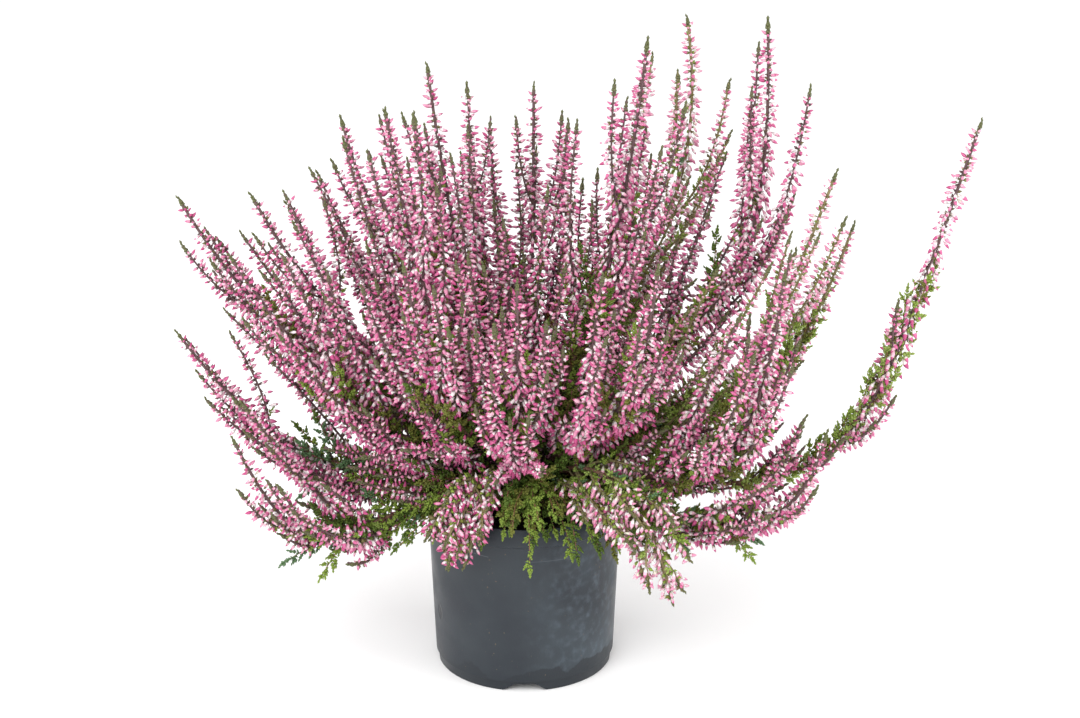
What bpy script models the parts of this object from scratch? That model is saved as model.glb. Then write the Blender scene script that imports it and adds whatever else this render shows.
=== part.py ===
"""A potted heather: a bushy flowering heather in an 11 cm nursery pot.

Metres, +Z up. The origin is the middle of the pot's underside, and the front is towards -Y.
Bearings run anticlockwise from +X, so 270 degrees is the front.
"""

import math
import random
from collections import namedtuple

import bmesh
import bpy
import numpy as np
from mathutils import Matrix, Vector

OBJECT_NAME = "potted_heather"
GAP = 0.0003

# The pot
POT_HEIGHT = 0.102
POT_RIM_RADIUS = 0.056
POT_FOOT_RADIUS = 0.050
POT_WALL = 0.0014
RIM_BAND = 0.011
RIM_STEP = 0.0008
FOOT_BAND = 0.0062
FOOT_STEP = 0.0009
FLOOR_LIFT = 0.0042
PAD_RADIUS = 0.016
POT_STEPS = 44
NOTCHES = 4
NOTCH_HEIGHT = 0.0046
NOTCH_FOOT_WIDTH = 0.028
NOTCH_TOP_WIDTH = 0.011
DRAINS = 4
DRAIN_RADIUS = 0.004
DRAIN_RING = 0.032

# The compost in it
COMPOST_TOP = 0.0895
COMPOST_DOME = 0.0025
COMPOST_STEPS = 28

# The short stem, a woody knob that every shoot leaves
KNOB_RADIUS = 0.013
KNOB_HEIGHT = 0.108
NECK_RADIUS = 0.0095
FLARE_RADIUS = 0.017
STEM_STEPS = 18

# The boughs and the sprays that go on from them
BOUGH_FOOT_RADIUS = 0.0019
BOUGH_TIP_RADIUS = 0.0014
LEADER_FOOT_RADIUS = 0.00135
SPIKE_FOOT_RADIUS = 0.0010
SPIKE_TIP_RADIUS = 0.0005
BOUGH_SHARE = 0.25
BOUGH_POINTS = 5
LEADER_POINTS = 6
SPIKE_POINTS = 4

# The side spikes: where they leave the leader, how long they are and how far they stand from
# the leader that they run beside
FIRST_SPIKE = 0.04
LAST_SPIKE = 0.50
SPIKE_LENGTH = 0.80
LONGEST_SPIKE = 0.125
SPIKE_FAN = 0.28
LONGEST_FAN = 0.030
SPIKE_LIFT = 0.17
SPIKE_BOW = (0.35, 0.85)
SPIKE_TRIES = 14
SPIKE_SHRINK = 0.045

# The bud sprays, each a three-sided spindle that stands for a ring of flower buds
BUD_SPRAY_SIDES = 3
BUD_SPRAY_LENGTH = 0.033
BUD_SPRAY_WIDTH = 0.0140
BUD_SPRAY_WIDEST = 0.42
BUD_SPRAY_STEP = 0.0335
BUD_SPRAY_LEAN = 22.0
BUD_SPRAY_SHORTENING = 0.28
BUD_SPRAY_NARROWING = 0.35
LEADER_BARE_FOOT = 0.24
SPIKE_BARE_FOOT = 0.14
TUFT_LENGTH = 0.020
TUFT_WIDTH = 0.0050
TUFT_OVER_TWIG = 0.62
GOLDEN_ANGLE = 137.5

# How clear a spray stays of its neighbours' space, of the limbs and of the pot
SPACE_MARGIN = 0.0007
LIMB_MARGIN = 0.0030
POT_MARGIN = 0.0030
HOME_SAMPLES = 60

# The rings of shoots on the knob: how high up its side each ring is, in degrees
RINGS = {"low": 14, "mid": 33, "high": 52, "top": 74}

# The room that shoots keep in their ring, as a share of an even spacing, and in how many
# rounds they move apart to have it
RING_ROOM = 0.74
RING_MOVES = 80

# How much of a shoot's reach pulls it along its first heading, and along its tip's
Sweep = namedtuple("Sweep", "foot tip")
STRAIGHT = Sweep(0.30, 0.44)
CURVED = Sweep(0.36, 0.58)
RISING = Sweep(0.50, 0.66)
SAGGING = Sweep(0.58, 0.68)

# Each shoot's ring, the place of its tip as bearing, distance from the pot's middle and
# height in mm, how steeply it climbs at its foot and at its tip, its sweep, its side spikes and
# how much of their full length these have
Shoot = namedtuple(
    "Shoot", "name ring bearing spread height foot_climb tip_climb sweep spikes grown", defaults=(1.0,)
)
SHOOTS = (
    Shoot("left_low", "low", 188, 192, 209, 4, 58, CURVED, 3),
    Shoot("left_sag", "low", 207, 175, 168, -2, 68, SAGGING, 4),
    Shoot("front_left", "low", 243, 92, 92, 42, -60, RISING, 3),
    Shoot("front_right_low", "low", 309, 126, 78, 40, -74, RISING, 4),
    Shoot("right_skirt", "low", 332, 182, 172, 0, 78, CURVED, 4),
    Shoot("right_far", "low", 352, 245, 330, -6, 74, SAGGING, 4, 0.42),
    Shoot("back_right_low", "low", 58, 172, 165, 6, 72, CURVED, 3),
    Shoot("back_left_low", "low", 122, 172, 165, 6, 72, CURVED, 3),
    Shoot("left_far", "mid", 172, 194, 268, 26, 62, STRAIGHT, 3),
    Shoot("left_front", "mid", 201, 167, 264, 24, 60, CURVED, 3),
    Shoot("front_left_up", "mid", 235, 109, 268, 44, 76, CURVED, 3),
    Shoot("front_middle", "mid", 268, 100, 262, 46, 84, CURVED, 3),
    Shoot("front_right_up", "mid", 303, 126, 272, 44, 82, CURVED, 3),
    Shoot("right_middle", "mid", 328, 160, 262, 10, 84, RISING, 4),
    Shoot("right_back", "mid", 20, 203, 240, 14, 70, RISING, 3, 0.6),
    Shoot("back_right", "mid", 66, 150, 262, 29, 76, CURVED, 3),
    Shoot("back_left", "mid", 112, 150, 262, 29, 76, CURVED, 3),
    Shoot("left_back", "high", 152, 116, 306, 46, 74, STRAIGHT, 3),
    Shoot("left_high", "high", 177, 150, 276, 44, 64, STRAIGHT, 3),
    Shoot("upper_left", "high", 204, 80, 336, 50, 82, STRAIGHT, 3),
    Shoot("right_high", "high", 357, 170, 294, 22, 72, RISING, 3),
    Shoot("top_far_right", "high", 12, 136, 368, 44, 93, RISING, 4),
    Shoot("top_back", "high", 42, 124, 358, 52, 102, CURVED, 3),
    Shoot("top_left", "top", 146, 64, 342, 73, 82, STRAIGHT, 3),
    Shoot("centre_back", "top", 86, 84, 319, 73, 88, STRAIGHT, 3),
    Shoot("top_right", "top", 5, 67, 362, 70, 84, CURVED, 4),
)

# The green sprays that leave the knob between the low shoots and lie over the pot's rim
SKIRTS = (
    Shoot("skirt_front", "low", 272, 82, 94, 34, -56, RISING, 3),
    Shoot("skirt_left", "low", 222, 92, 96, 8, -30, CURVED, 3),
    Shoot("skirt_right", "low", 322, 96, 92, 8, -34, CURVED, 3),
    Shoot("skirt_back_left", "low", 150, 98, 104, 8, -16, CURVED, 3),
    Shoot("skirt_back_right", "low", 32, 98, 104, 8, -16, CURVED, 3),
)

PLASTIC = ("slate_plastic", (0.050, 0.062, 0.078), 0.42)
COMPOST = ("moist_compost", (0.035, 0.022, 0.014), 0.95)
BARK = ("heather_bark", (0.120, 0.060, 0.040), 0.85)
BLOSSOM = ("heather_blossom", (0.620, 0.160, 0.330), 0.60)
GREENS = ("heather_greens", (0.080, 0.130, 0.035), 0.65)


def clear_scene():
    for obj in list(bpy.data.objects):
        bpy.data.objects.remove(obj)


def new_collection(name):
    collection = bpy.data.collections.new(name)
    bpy.context.scene.collection.children.link(collection)
    return collection


def finish_of(name, colour, roughness):
    """The named material, made the first time that it is asked for."""
    material = bpy.data.materials.get(name)
    if material is None:
        material = bpy.data.materials.new(name)
        material.use_nodes = True
        shader = material.node_tree.nodes["Principled BSDF"]
        shader.inputs["Base Color"].default_value = (*colour, 1.0)
        shader.inputs["Roughness"].default_value = roughness
        shader.inputs["Metallic"].default_value = 0.0
        material.diffuse_color = (*colour, 1.0)
    return material


def add_mesh(name, bm, collection, finish=None):
    mesh = bpy.data.meshes.new(name)
    bm.to_mesh(mesh)
    bm.free()
    obj = bpy.data.objects.new(name, mesh)
    collection.objects.link(obj)
    if finish:
        mesh.materials.append(finish_of(*finish))
    return obj


def turned(name, profile, steps, collection, finish):
    """A profile of (radius, height) pairs, from the axis over the top and down the outer side."""
    bm = bmesh.new()
    points = [bm.verts.new((radius, 0.0, height)) for radius, height in profile]
    for first, second in zip(points, points[1:]):
        bm.edges.new((first, second))
    obj = add_mesh(name, bm, collection, finish)
    screw = obj.modifiers.new("turn", "SCREW")
    screw.steps = screw.render_steps = steps
    screw.use_merge_vertices = True
    screw.merge_threshold = 0.00001
    screw.use_smooth_shade = True
    return obj


def as_cutter(obj):
    obj.hide_render = True
    obj.display_type = "WIRE"
    return obj


def cut(obj, cutter):
    modifier = obj.modifiers.new("cut " + cutter.name, "BOOLEAN")
    modifier.operation = "DIFFERENCE"
    modifier.object = cutter


def wall_radius(height):
    """The pot's outer radius at a height, below the rim band and above the foot band."""
    share = height / POT_HEIGHT
    top = POT_RIM_RADIUS - RIM_STEP
    return (POT_FOOT_RADIUS + FOOT_STEP) * (1 - share) + top * share


def pot_profile():
    """From the middle of the floor up the inside, over the rim and down to the pad under it."""
    floor = FLOOR_LIFT + POT_WALL
    inside_top = POT_HEIGHT - RIM_BAND
    return (
        (0.0, floor),
        (wall_radius(floor) - POT_WALL - 0.0015, floor),
        (wall_radius(floor) - POT_WALL, floor + 0.0015),
        (wall_radius(inside_top) - POT_WALL, inside_top),
        (POT_RIM_RADIUS - POT_WALL, inside_top + 0.0012),
        (POT_RIM_RADIUS - POT_WALL, POT_HEIGHT - 0.0004),
        (POT_RIM_RADIUS - POT_WALL / 2, POT_HEIGHT),
        (POT_RIM_RADIUS, POT_HEIGHT - 0.0005),
        (POT_RIM_RADIUS, inside_top),
        (wall_radius(inside_top), inside_top - 0.0006),
        (wall_radius(FOOT_BAND), FOOT_BAND),
        (POT_FOOT_RADIUS, FOOT_BAND - 0.0006),
        (POT_FOOT_RADIUS, 0.0005),
        (POT_FOOT_RADIUS - 0.0005, 0.0),
        (POT_FOOT_RADIUS - POT_WALL - 0.0004, 0.0),
        (POT_FOOT_RADIUS - POT_WALL - 0.0008, FLOOR_LIFT),
        (PAD_RADIUS + 0.0012, FLOOR_LIFT),
        (PAD_RADIUS, 0.0),
        (0.0, 0.0),
    )


def notch_cutter(index, cutters):
    """A wedge-sided gap in the foot ring, wide at the ground, that lets water out."""
    bm = bmesh.new()
    bmesh.ops.create_cube(bm, size=1.0)
    for vert in bm.verts:
        width = NOTCH_TOP_WIDTH if vert.co.z > 0 else NOTCH_FOOT_WIDTH
        vert.co.x *= 0.012
        vert.co.y *= width
        vert.co.z = NOTCH_HEIGHT if vert.co.z > 0 else -0.001
    obj = add_mesh(f"notch_{index}", bm, cutters)
    bearing = math.radians(270 + 360 * index / NOTCHES)
    obj.location = polar(bearing, POT_FOOT_RADIUS - 0.002, 0.0)
    obj.rotation_euler.z = bearing
    return as_cutter(obj)


def drain_cutter(index, cutters):
    bm = bmesh.new()
    bmesh.ops.create_cone(
        bm, cap_ends=True, segments=12, radius1=DRAIN_RADIUS, radius2=DRAIN_RADIUS, depth=0.02
    )
    obj = add_mesh(f"drain_{index}", bm, cutters)
    bearing = math.radians(45 + 360 * index / DRAINS)
    obj.location = polar(bearing, DRAIN_RING, FLOOR_LIFT)
    return as_cutter(obj)


def make_pot(parts, cutters):
    pot = turned("pot", pot_profile(), POT_STEPS, parts, PLASTIC)
    for index in range(NOTCHES):
        cut(pot, notch_cutter(index, cutters))
    for index in range(DRAINS):
        cut(pot, drain_cutter(index, cutters))


def make_compost(parts):
    """The potting compost that fills the pot to just under its rim."""
    foot = FLOOR_LIFT + POT_WALL + GAP
    inner = POT_WALL + GAP
    profile = (
        (0.0, COMPOST_TOP),
        (FLARE_RADIUS + 0.003, COMPOST_TOP),
        (wall_radius(COMPOST_TOP) * 0.75, COMPOST_TOP - COMPOST_DOME * 0.4),
        (wall_radius(COMPOST_TOP) - inner - 0.001, COMPOST_TOP - COMPOST_DOME),
        (wall_radius(COMPOST_TOP) - inner - 0.0004, COMPOST_TOP - COMPOST_DOME - 0.002),
        (wall_radius(foot + 0.002) - inner - 0.0004, foot + 0.002),
        (wall_radius(foot) - inner - 0.002, foot),
        (0.0, foot),
    )
    turned("compost", profile, COMPOST_STEPS, parts, COMPOST)


def make_stem(parts):
    """The short stem: flared at the compost, waisted, and swollen where the shoots leave it."""
    foot = COMPOST_TOP + GAP
    neck = foot + 0.0045
    knob = [(math.cos(a) * KNOB_RADIUS, math.sin(a) * KNOB_RADIUS) for a in arc(90, -45, 9)]
    profile = [(max(radius, 0.0), KNOB_HEIGHT + height) for radius, height in knob]
    profile[0] = (0.0, KNOB_HEIGHT + KNOB_RADIUS)
    profile += [(NECK_RADIUS, neck), (NECK_RADIUS + 0.0022, foot + 0.0022)]
    profile += [(FLARE_RADIUS, foot + 0.0006), (FLARE_RADIUS, foot), (0.0, foot)]
    turned("stem", profile, STEM_STEPS, parts, BARK)


def arc(start, end, count):
    """Evenly spaced angles in radians, from a start to an end given in degrees."""
    return [math.radians(start + (end - start) * i / (count - 1)) for i in range(count)]


def polar(bearing, distance, height):
    return Vector((math.cos(bearing) * distance, math.sin(bearing) * distance, height))


def heading(bearing, climb):
    """The unit vector of a bearing and a climb in degrees."""
    level = math.cos(math.radians(climb))
    return polar(math.radians(bearing), level, math.sin(math.radians(climb)))


def bezier(corners, share):
    """The point a share of the way along a Bezier curve of any number of corners."""
    points = list(corners)
    while len(points) > 1:
        points = [a.lerp(b, share) for a, b in zip(points, points[1:])]
    return points[0]


def along(corners, start, end, count):
    return [bezier(corners, start + (end - start) * i / (count - 1)) for i in range(count)]


def length_of(points):
    return sum((b - a).length for a, b in zip(points, points[1:]))


def start_bearings():
    """Where each shoot leaves the knob: towards its tip, moved apart from its ring's others."""
    bearings = {}
    for ring in RINGS:
        members = [shoot for shoot in SHOOTS + SKIRTS if shoot.ring == ring]
        members.sort(key=lambda shoot: shoot.bearing)
        places = [float(shoot.bearing) for shoot in members]
        nearest = RING_ROOM * 360 / len(members)
        for _ in range(RING_MOVES):
            for index in range(len(places)):
                after = (index + 1) % len(places)
                short = nearest - (places[after] - places[index]) % 360
                if short > 0:
                    places[index] -= short / 2
                    places[after] += short / 2
        for shoot, place in zip(members, places):
            bearings[shoot.name] = place
    return bearings


def home_curve(shoot, start_bearing):
    """The corners of the curve that a shoot follows from the knob to its tip."""
    out = heading(start_bearing, RINGS[shoot.ring])
    start = heading(start_bearing, shoot.foot_climb)
    clear = GAP + BOUGH_FOOT_RADIUS * math.sin(out.angle(start))
    foot = Vector((0.0, 0.0, KNOB_HEIGHT)) + out * (KNOB_RADIUS + clear)
    tip = polar(math.radians(shoot.bearing), shoot.spread / 1000, shoot.height / 1000)
    reach = (tip - foot).length
    end = heading(shoot.bearing, shoot.tip_climb)
    return foot, foot + start * reach * shoot.sweep.foot, tip - end * reach * shoot.sweep.tip, tip


class Space:
    """Which shoot's own space a point is in: the space nearer to its home curve than to others."""

    def __init__(self, homes):
        self.names = list(homes)
        lines = [along(homes[name], 0.0, 1.0, HOME_SAMPLES) for name in self.names]
        self.lines = np.array([[tuple(point) for point in line] for line in lines])

    def holds(self, name, points):
        """Whether all the points are in the named shoot's space, clear of limbs and of the pot."""
        own = self.names.index(name)
        for point in points:
            away = np.linalg.norm(self.lines - np.array(point), axis=2).min(axis=1)
            mine = away[own]
            away[own] = np.inf
            if away.min() < max(mine + SPACE_MARGIN, LIMB_MARGIN):
                return False
            low = point.z < POT_HEIGHT + POT_MARGIN
            if low and math.hypot(point.x, point.y) < POT_RIM_RADIUS + POT_MARGIN:
                return False
        return True


def tube(name, points, foot_radius, tip_radius, collection, outline=None):
    """A tapering limb along the points: round, or with the section of an outline curve."""
    curve = bpy.data.curves.new(name, "CURVE")
    curve.dimensions = "3D"
    curve.twist_mode = "MINIMUM"
    curve.use_fill_caps = True
    if outline:
        curve.bevel_mode = "OBJECT"
        curve.bevel_object = outline
    else:
        curve.bevel_depth = 1.0
        curve.bevel_resolution = 1
    spline = curve.splines.new("POLY")
    spline.points.add(len(points) - 1)
    for index, point in enumerate(points):
        share = index / (len(points) - 1)
        spline.points[index].co = (*point, 1.0)
        spline.points[index].radius = foot_radius + (tip_radius - foot_radius) * share
    obj = bpy.data.objects.new(name, curve)
    collection.objects.link(obj)
    return obj


def made_mesh(obj, collection, finish=None):
    """The curve object's tube as a mesh object with its caps welded on, in place of the curve."""
    name = obj.name
    bpy.context.view_layer.update()
    graph = bpy.context.evaluated_depsgraph_get()
    mesh = bpy.data.meshes.new_from_object(obj.evaluated_get(graph))
    place = obj.matrix_world.copy()
    curve = obj.data
    bpy.data.objects.remove(obj)
    bpy.data.curves.remove(curve)
    bm = bmesh.new()
    bm.from_mesh(mesh)
    bpy.data.meshes.remove(mesh)
    bmesh.ops.remove_doubles(bm, verts=bm.verts, dist=0.000002)
    bmesh.ops.recalc_face_normals(bm, faces=bm.faces)
    made = add_mesh(name, bm, collection, finish)
    made.matrix_world = place
    return made


def twig_outline(cutters):
    """A triangle of unit radius, the section of every twig."""
    curve = bpy.data.curves.new("twig_outline", "CURVE")
    curve.dimensions = "2D"
    spline = curve.splines.new("POLY")
    spline.points.add(2)
    for index in range(3):
        corner = polar(math.radians(120 * index), 1.0, 0.0)
        spline.points[index].co = (*corner, 1.0)
    spline.use_cyclic_u = True
    obj = bpy.data.objects.new("twig_outline", curve)
    cutters.objects.link(obj)
    obj.hide_render = True
    return obj


def bud_spray_points(root, direction, length, width):
    """Points on the outside of a bud spray, to see whose space it is in."""
    side = direction.orthogonal().normalized() * width / 2
    other = direction.cross(side)
    tip = root + direction * length
    waist = root + direction * length * BUD_SPRAY_WIDEST
    found = [tip]
    for reach in (side, -side, other, -other):
        edge = waist + reach
        found += [edge.lerp(end, share) for end in (tip, root) for share in (0.0, 0.3, 0.6)]
    return found


def bud_spray(root, direction, length, width, collection):
    """A spindle with its root at a point and its tip a length away."""
    bm = bmesh.new()
    bmesh.ops.create_uvsphere(bm, u_segments=BUD_SPRAY_SIDES, v_segments=2, radius=1.0)
    below = BUD_SPRAY_WIDEST * length
    for vert in bm.verts:
        vert.co.x *= width / 2
        vert.co.y *= width / 2
        vert.co.z *= below if vert.co.z < 0 else length - below
        vert.co.z += below
    turn = direction.to_track_quat("Z", "Y").to_matrix().to_4x4()
    bmesh.ops.transform(bm, matrix=Matrix.Translation(root) @ turn, verts=bm.verts)
    return add_mesh("bud_spray", bm, collection)


def lean_from(direction, angle, around):
    """A direction leant from another by an angle, and turned round it, both in degrees."""
    side = direction.orthogonal().normalized()
    side.rotate(Matrix.Rotation(math.radians(around), 3, direction))
    lean = math.radians(angle)
    return (direction * math.cos(lean) + side * math.sin(lean)).normalized()


def side_spike(leader, share, shoot, space, chance, index):
    """A side spike's curve that stays in its shoot's space, or None where no try fits."""
    root = bezier(leader, share)
    ahead = (bezier(leader, share + 0.02) - root).normalized()
    rest = length_of(along(leader, share, 1.0, 8))
    for attempt in range(SPIKE_TRIES):
        shrink = 1.0 - SPIKE_SHRINK * attempt
        length = min(rest * SPIKE_LENGTH, LONGEST_SPIKE) * shoot.grown
        length *= chance.uniform(0.86, 1.10) * shrink
        fan = min(length * SPIKE_FAN, LONGEST_FAN) * shrink
        around = GOLDEN_ANGLE * (index + 0.73 * attempt) + chance.uniform(-20, 20)
        side = lean_from(ahead, 90, around)
        lift = Vector((0.0, 0.0, length * SPIKE_LIFT))
        reach = (1.0 - share) * length / rest
        end = bezier(leader, share + reach) + side * fan + lift
        middle = bezier(leader, share + reach * SPIKE_BOW[0]) + side * fan * SPIKE_BOW[1]
        curve = (root, middle, end)
        if space.holds(shoot.name, along(curve, 0.15, 1.0, 14)):
            return curve
    return None


def twig_end(curve):
    """The share of a spike's curve at which its twig ends, inside the foot of its tuft."""
    pull = (curve[-1] - curve[-2]).length * (len(curve) - 1)
    return 1.0 - TUFT_LENGTH * TUFT_OVER_TWIG / pull


def bud_sprays(curve, first, shoot, space, chance):
    """The roots, directions and sizes of the bud sprays along a spike, and of its end tuft."""
    found = []
    length = length_of(along(curve, 0.0, 1.0, 10))
    count = max(round(length * (1.0 - first) / BUD_SPRAY_STEP), 2)
    last = twig_end(curve)
    for index in range(count):
        share = first + (last - first) * index / count
        root = bezier(curve, share)
        ahead = (bezier(curve, share + 0.02) - root).normalized()
        size = BUD_SPRAY_LENGTH * (1.0 - BUD_SPRAY_SHORTENING * share) * chance.uniform(0.92, 1.08)
        width = BUD_SPRAY_WIDTH * (1.0 - BUD_SPRAY_NARROWING * share)
        around = GOLDEN_ANGLE * index + chance.uniform(-15, 15)
        direction = lean_from(ahead, BUD_SPRAY_LEAN, around)
        if space.holds(shoot.name, bud_spray_points(root, direction, size, width)):
            found.append((root, direction, size, width))
    tip = bezier(curve, 1.0)
    ahead = (tip - bezier(curve, 0.96)).normalized()
    found.append((tip - ahead * TUFT_LENGTH, ahead, TUFT_LENGTH, TUFT_WIDTH))
    return found


def unite(base, pieces):
    """Joins the collection's pieces to the base in one Boolean union, and removes them."""
    modifier = base.modifiers.new("unite", "BOOLEAN")
    modifier.operation = "UNION"
    modifier.solver = "EXACT"
    modifier.operand_type = "COLLECTION"
    modifier.collection = pieces
    bpy.context.view_layer.objects.active = base
    bpy.ops.object.modifier_apply(modifier=modifier.name)
    for piece in list(pieces.objects):
        mesh = piece.data
        bpy.data.objects.remove(piece)
        bpy.data.meshes.remove(mesh)


def keep_largest_body(obj):
    """Drops loose scraps and the inner skins of sealed hollows."""
    bm = bmesh.new()
    bm.from_mesh(obj.data)
    left = set(bm.verts)
    bodies = []
    while left:
        grown = {left.pop()}
        edge = set(grown)
        while edge:
            edge = {e.other_vert(v) for v in edge for e in v.link_edges} - grown
            grown |= edge
        left -= grown
        bodies.append(grown)
    bodies.sort(key=len)
    scraps = [vert for body in bodies[:-1] for vert in body]
    bmesh.ops.delete(bm, geom=scraps, context="VERTS")
    bm.to_mesh(obj.data)
    bm.free()


def make_spray(shoot, leader, finish, space, outline, parts, scratch):
    """A shoot's spray: its leader, side spikes and bud sprays, joined into one solid."""
    chance = random.Random(shoot.name)
    name = "spray_" + shoot.name
    points = along(leader, 0.0, twig_end(leader), LEADER_POINTS)
    stem = tube(name, points, LEADER_FOOT_RADIUS, SPIKE_TIP_RADIUS, scratch, outline)
    spray = made_mesh(stem, parts, finish)
    spikes = [(leader, LEADER_BARE_FOOT)]
    for index in range(shoot.spikes):
        share = FIRST_SPIKE + (LAST_SPIKE - FIRST_SPIKE) * index / max(shoot.spikes - 1, 1)
        curve = side_spike(leader, share, shoot, space, chance, index)
        if curve is None:
            continue
        points = along(curve, 0.0, twig_end(curve), SPIKE_POINTS)
        twig = tube("twig", points, SPIKE_FOOT_RADIUS, SPIKE_TIP_RADIUS, scratch, outline)
        made_mesh(twig, scratch)
        spikes.append((curve, SPIKE_BARE_FOOT))
    for curve, bare in spikes:
        for piece in bud_sprays(curve, bare, shoot, space, chance):
            bud_spray(*piece, scratch)
    unite(spray, scratch)
    keep_largest_body(spray)


def split_curve(corners, share):
    """The corners of the part of a Bezier curve after a share of it."""
    points = list(corners)
    tail = [points[-1]]
    while len(points) > 1:
        points = [a.lerp(b, share) for a, b in zip(points, points[1:])]
        tail.append(points[-1])
    return tuple(reversed(tail))


def make_bough(shoot, home, parts):
    """The bare limb from the knob to where the shoot's spray begins."""
    points = along(home, 0.0, BOUGH_SHARE, BOUGH_POINTS)
    limb = tube("bough_" + shoot.name, points, BOUGH_FOOT_RADIUS, BOUGH_TIP_RADIUS, parts)
    made_mesh(limb, parts, BARK)


def main():
    clear_scene()
    parts = new_collection(OBJECT_NAME)
    cutters = new_collection("cutters")
    scratch = new_collection("scratch")
    make_pot(parts, cutters)
    make_compost(parts)
    make_stem(parts)
    bearings = start_bearings()
    homes = {s.name: home_curve(s, bearings[s.name]) for s in SHOOTS + SKIRTS}
    space = Space(homes)
    outline = twig_outline(cutters)
    for shoot in SHOOTS:
        home = homes[shoot.name]
        make_bough(shoot, home, parts)
        gap_share = GAP / length_of(along(home, 0.0, 1.0, 20))
        leader = split_curve(home, BOUGH_SHARE + gap_share)
        make_spray(shoot, leader, BLOSSOM, space, outline, parts, scratch)
    for shoot in SKIRTS:
        make_spray(shoot, homes[shoot.name], GREENS, space, outline, parts, scratch)
    bpy.data.collections.remove(scratch)


main()
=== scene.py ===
"""The looks of a potted heather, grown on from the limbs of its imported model.

Metres, +Z up, the front towards -Y. Bearings run anticlockwise from +X, so 270 degrees is the front.
"""

import logging
import math
import random
from collections.abc import Callable, Iterable, Sequence
from dataclasses import dataclass, field, replace
from enum import Enum
from itertools import pairwise

import bmesh
import bpy
import numpy as np
from mathutils import Matrix, Quaternion, Vector, noise


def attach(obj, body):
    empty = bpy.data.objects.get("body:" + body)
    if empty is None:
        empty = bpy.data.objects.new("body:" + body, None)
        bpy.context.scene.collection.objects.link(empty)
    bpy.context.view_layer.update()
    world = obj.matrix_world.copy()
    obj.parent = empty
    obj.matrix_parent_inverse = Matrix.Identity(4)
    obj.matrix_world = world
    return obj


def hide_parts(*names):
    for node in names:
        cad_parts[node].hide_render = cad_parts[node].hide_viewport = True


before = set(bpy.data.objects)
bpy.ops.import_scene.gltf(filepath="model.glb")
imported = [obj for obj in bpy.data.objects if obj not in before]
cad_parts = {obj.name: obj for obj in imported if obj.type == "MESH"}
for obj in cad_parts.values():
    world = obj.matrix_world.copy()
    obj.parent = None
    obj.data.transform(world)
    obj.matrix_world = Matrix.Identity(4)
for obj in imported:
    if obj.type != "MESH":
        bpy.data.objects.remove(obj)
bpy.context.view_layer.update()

LOG = logging.getLogger("potted_heather")
UP = Vector((0.0, 0.0, 1.0))
GOLDEN_ANGLE = 137.5
GAP = 0.0003
NEAR = 1e-7
POT_HEIGHT = 0.102
RIM_RADIUS = 0.056
KNOB_HEIGHT = 0.108
KNOB_RADIUS = 0.013

Colour = tuple[float, float, float]
Corners = tuple[Vector, ...]
Mix = Sequence[tuple[Enum, float]]
Socket = bpy.types.NodeSocket


# Finishes


@dataclass(frozen=True)
class PlainFinish:
    """One even colour, for shapes too small to show more."""

    name: str
    colour: Colour
    roughness: float = 0.55
    specular: float = 0.25

    def material(self) -> bpy.types.Material:
        """The finish's material, made the first time that it is asked for.

        Returns:
            The material.
        """
        found = bpy.data.materials.get(self.name)
        if found is not None:
            return found
        made, shader = new_material(self.name)
        shader.inputs["Base Color"].default_value = (*self.colour, 1.0)
        shader.inputs["Roughness"].default_value = self.roughness
        shader.inputs["Specular IOR Level"].default_value = self.specular
        return made


class Bud(Enum):
    """The colours of a flower bud's parts, from its stalk to its tip."""

    CALYX_OLIVE = PlainFinish("calyx_olive", (0.195, 0.170, 0.068))
    CALYX_BROWN = PlainFinish("calyx_brown", (0.150, 0.080, 0.066))
    CALYX_GREEN = PlainFinish("calyx_green", (0.240, 0.262, 0.098))
    WHITE = PlainFinish("bud_white", (0.840, 0.760, 0.765), 0.45)
    CREAM = PlainFinish("bud_cream", (0.690, 0.660, 0.540), 0.45)
    BLUSH = PlainFinish("bud_blush", (0.720, 0.410, 0.500), 0.45)
    SOFT_PINK = PlainFinish("bud_soft_pink", (0.640, 0.250, 0.380), 0.45)
    PINK = PlainFinish("bud_pink", (0.560, 0.128, 0.275), 0.45)
    ROSE = PlainFinish("bud_rose", (0.460, 0.072, 0.200), 0.45)


class Leaf(Enum):
    """The greens of the leaves."""

    BRACT = PlainFinish("leaf_bract", (0.140, 0.120, 0.048))
    MAUVE = PlainFinish("leaf_mauve", (0.105, 0.062, 0.060))
    TUFT = PlainFinish("leaf_tuft", (0.115, 0.125, 0.052))
    OLIVE = PlainFinish("leaf_olive", (0.150, 0.165, 0.030))
    FRESH = PlainFinish("leaf_fresh", (0.200, 0.285, 0.045))
    BRIGHT = PlainFinish("leaf_bright", (0.270, 0.360, 0.085))
    DEEP = PlainFinish("leaf_deep", (0.090, 0.145, 0.022))
    BLUE = PlainFinish("leaf_blue", (0.105, 0.190, 0.085))
    DEAD = PlainFinish("leaf_dead", (0.170, 0.062, 0.022), 0.8)


class Twig(Enum):
    """The colours of the thin twigs."""

    MAUVE = PlainFinish("twig_mauve", (0.115, 0.068, 0.070), 0.7)
    BROWN = PlainFinish("twig_brown", (0.210, 0.105, 0.060), 0.7)
    OLIVE = PlainFinish("twig_olive", (0.200, 0.165, 0.080), 0.7)


def new_material(name: str) -> tuple[bpy.types.Material, bpy.types.Node]:
    """A new node material.

    Args:
        name: The material's name.

    Returns:
        The material and its shader node.
    """
    material = bpy.data.materials.new(name)
    material.use_nodes = True
    return material, material.node_tree.nodes["Principled BSDF"]


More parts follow.
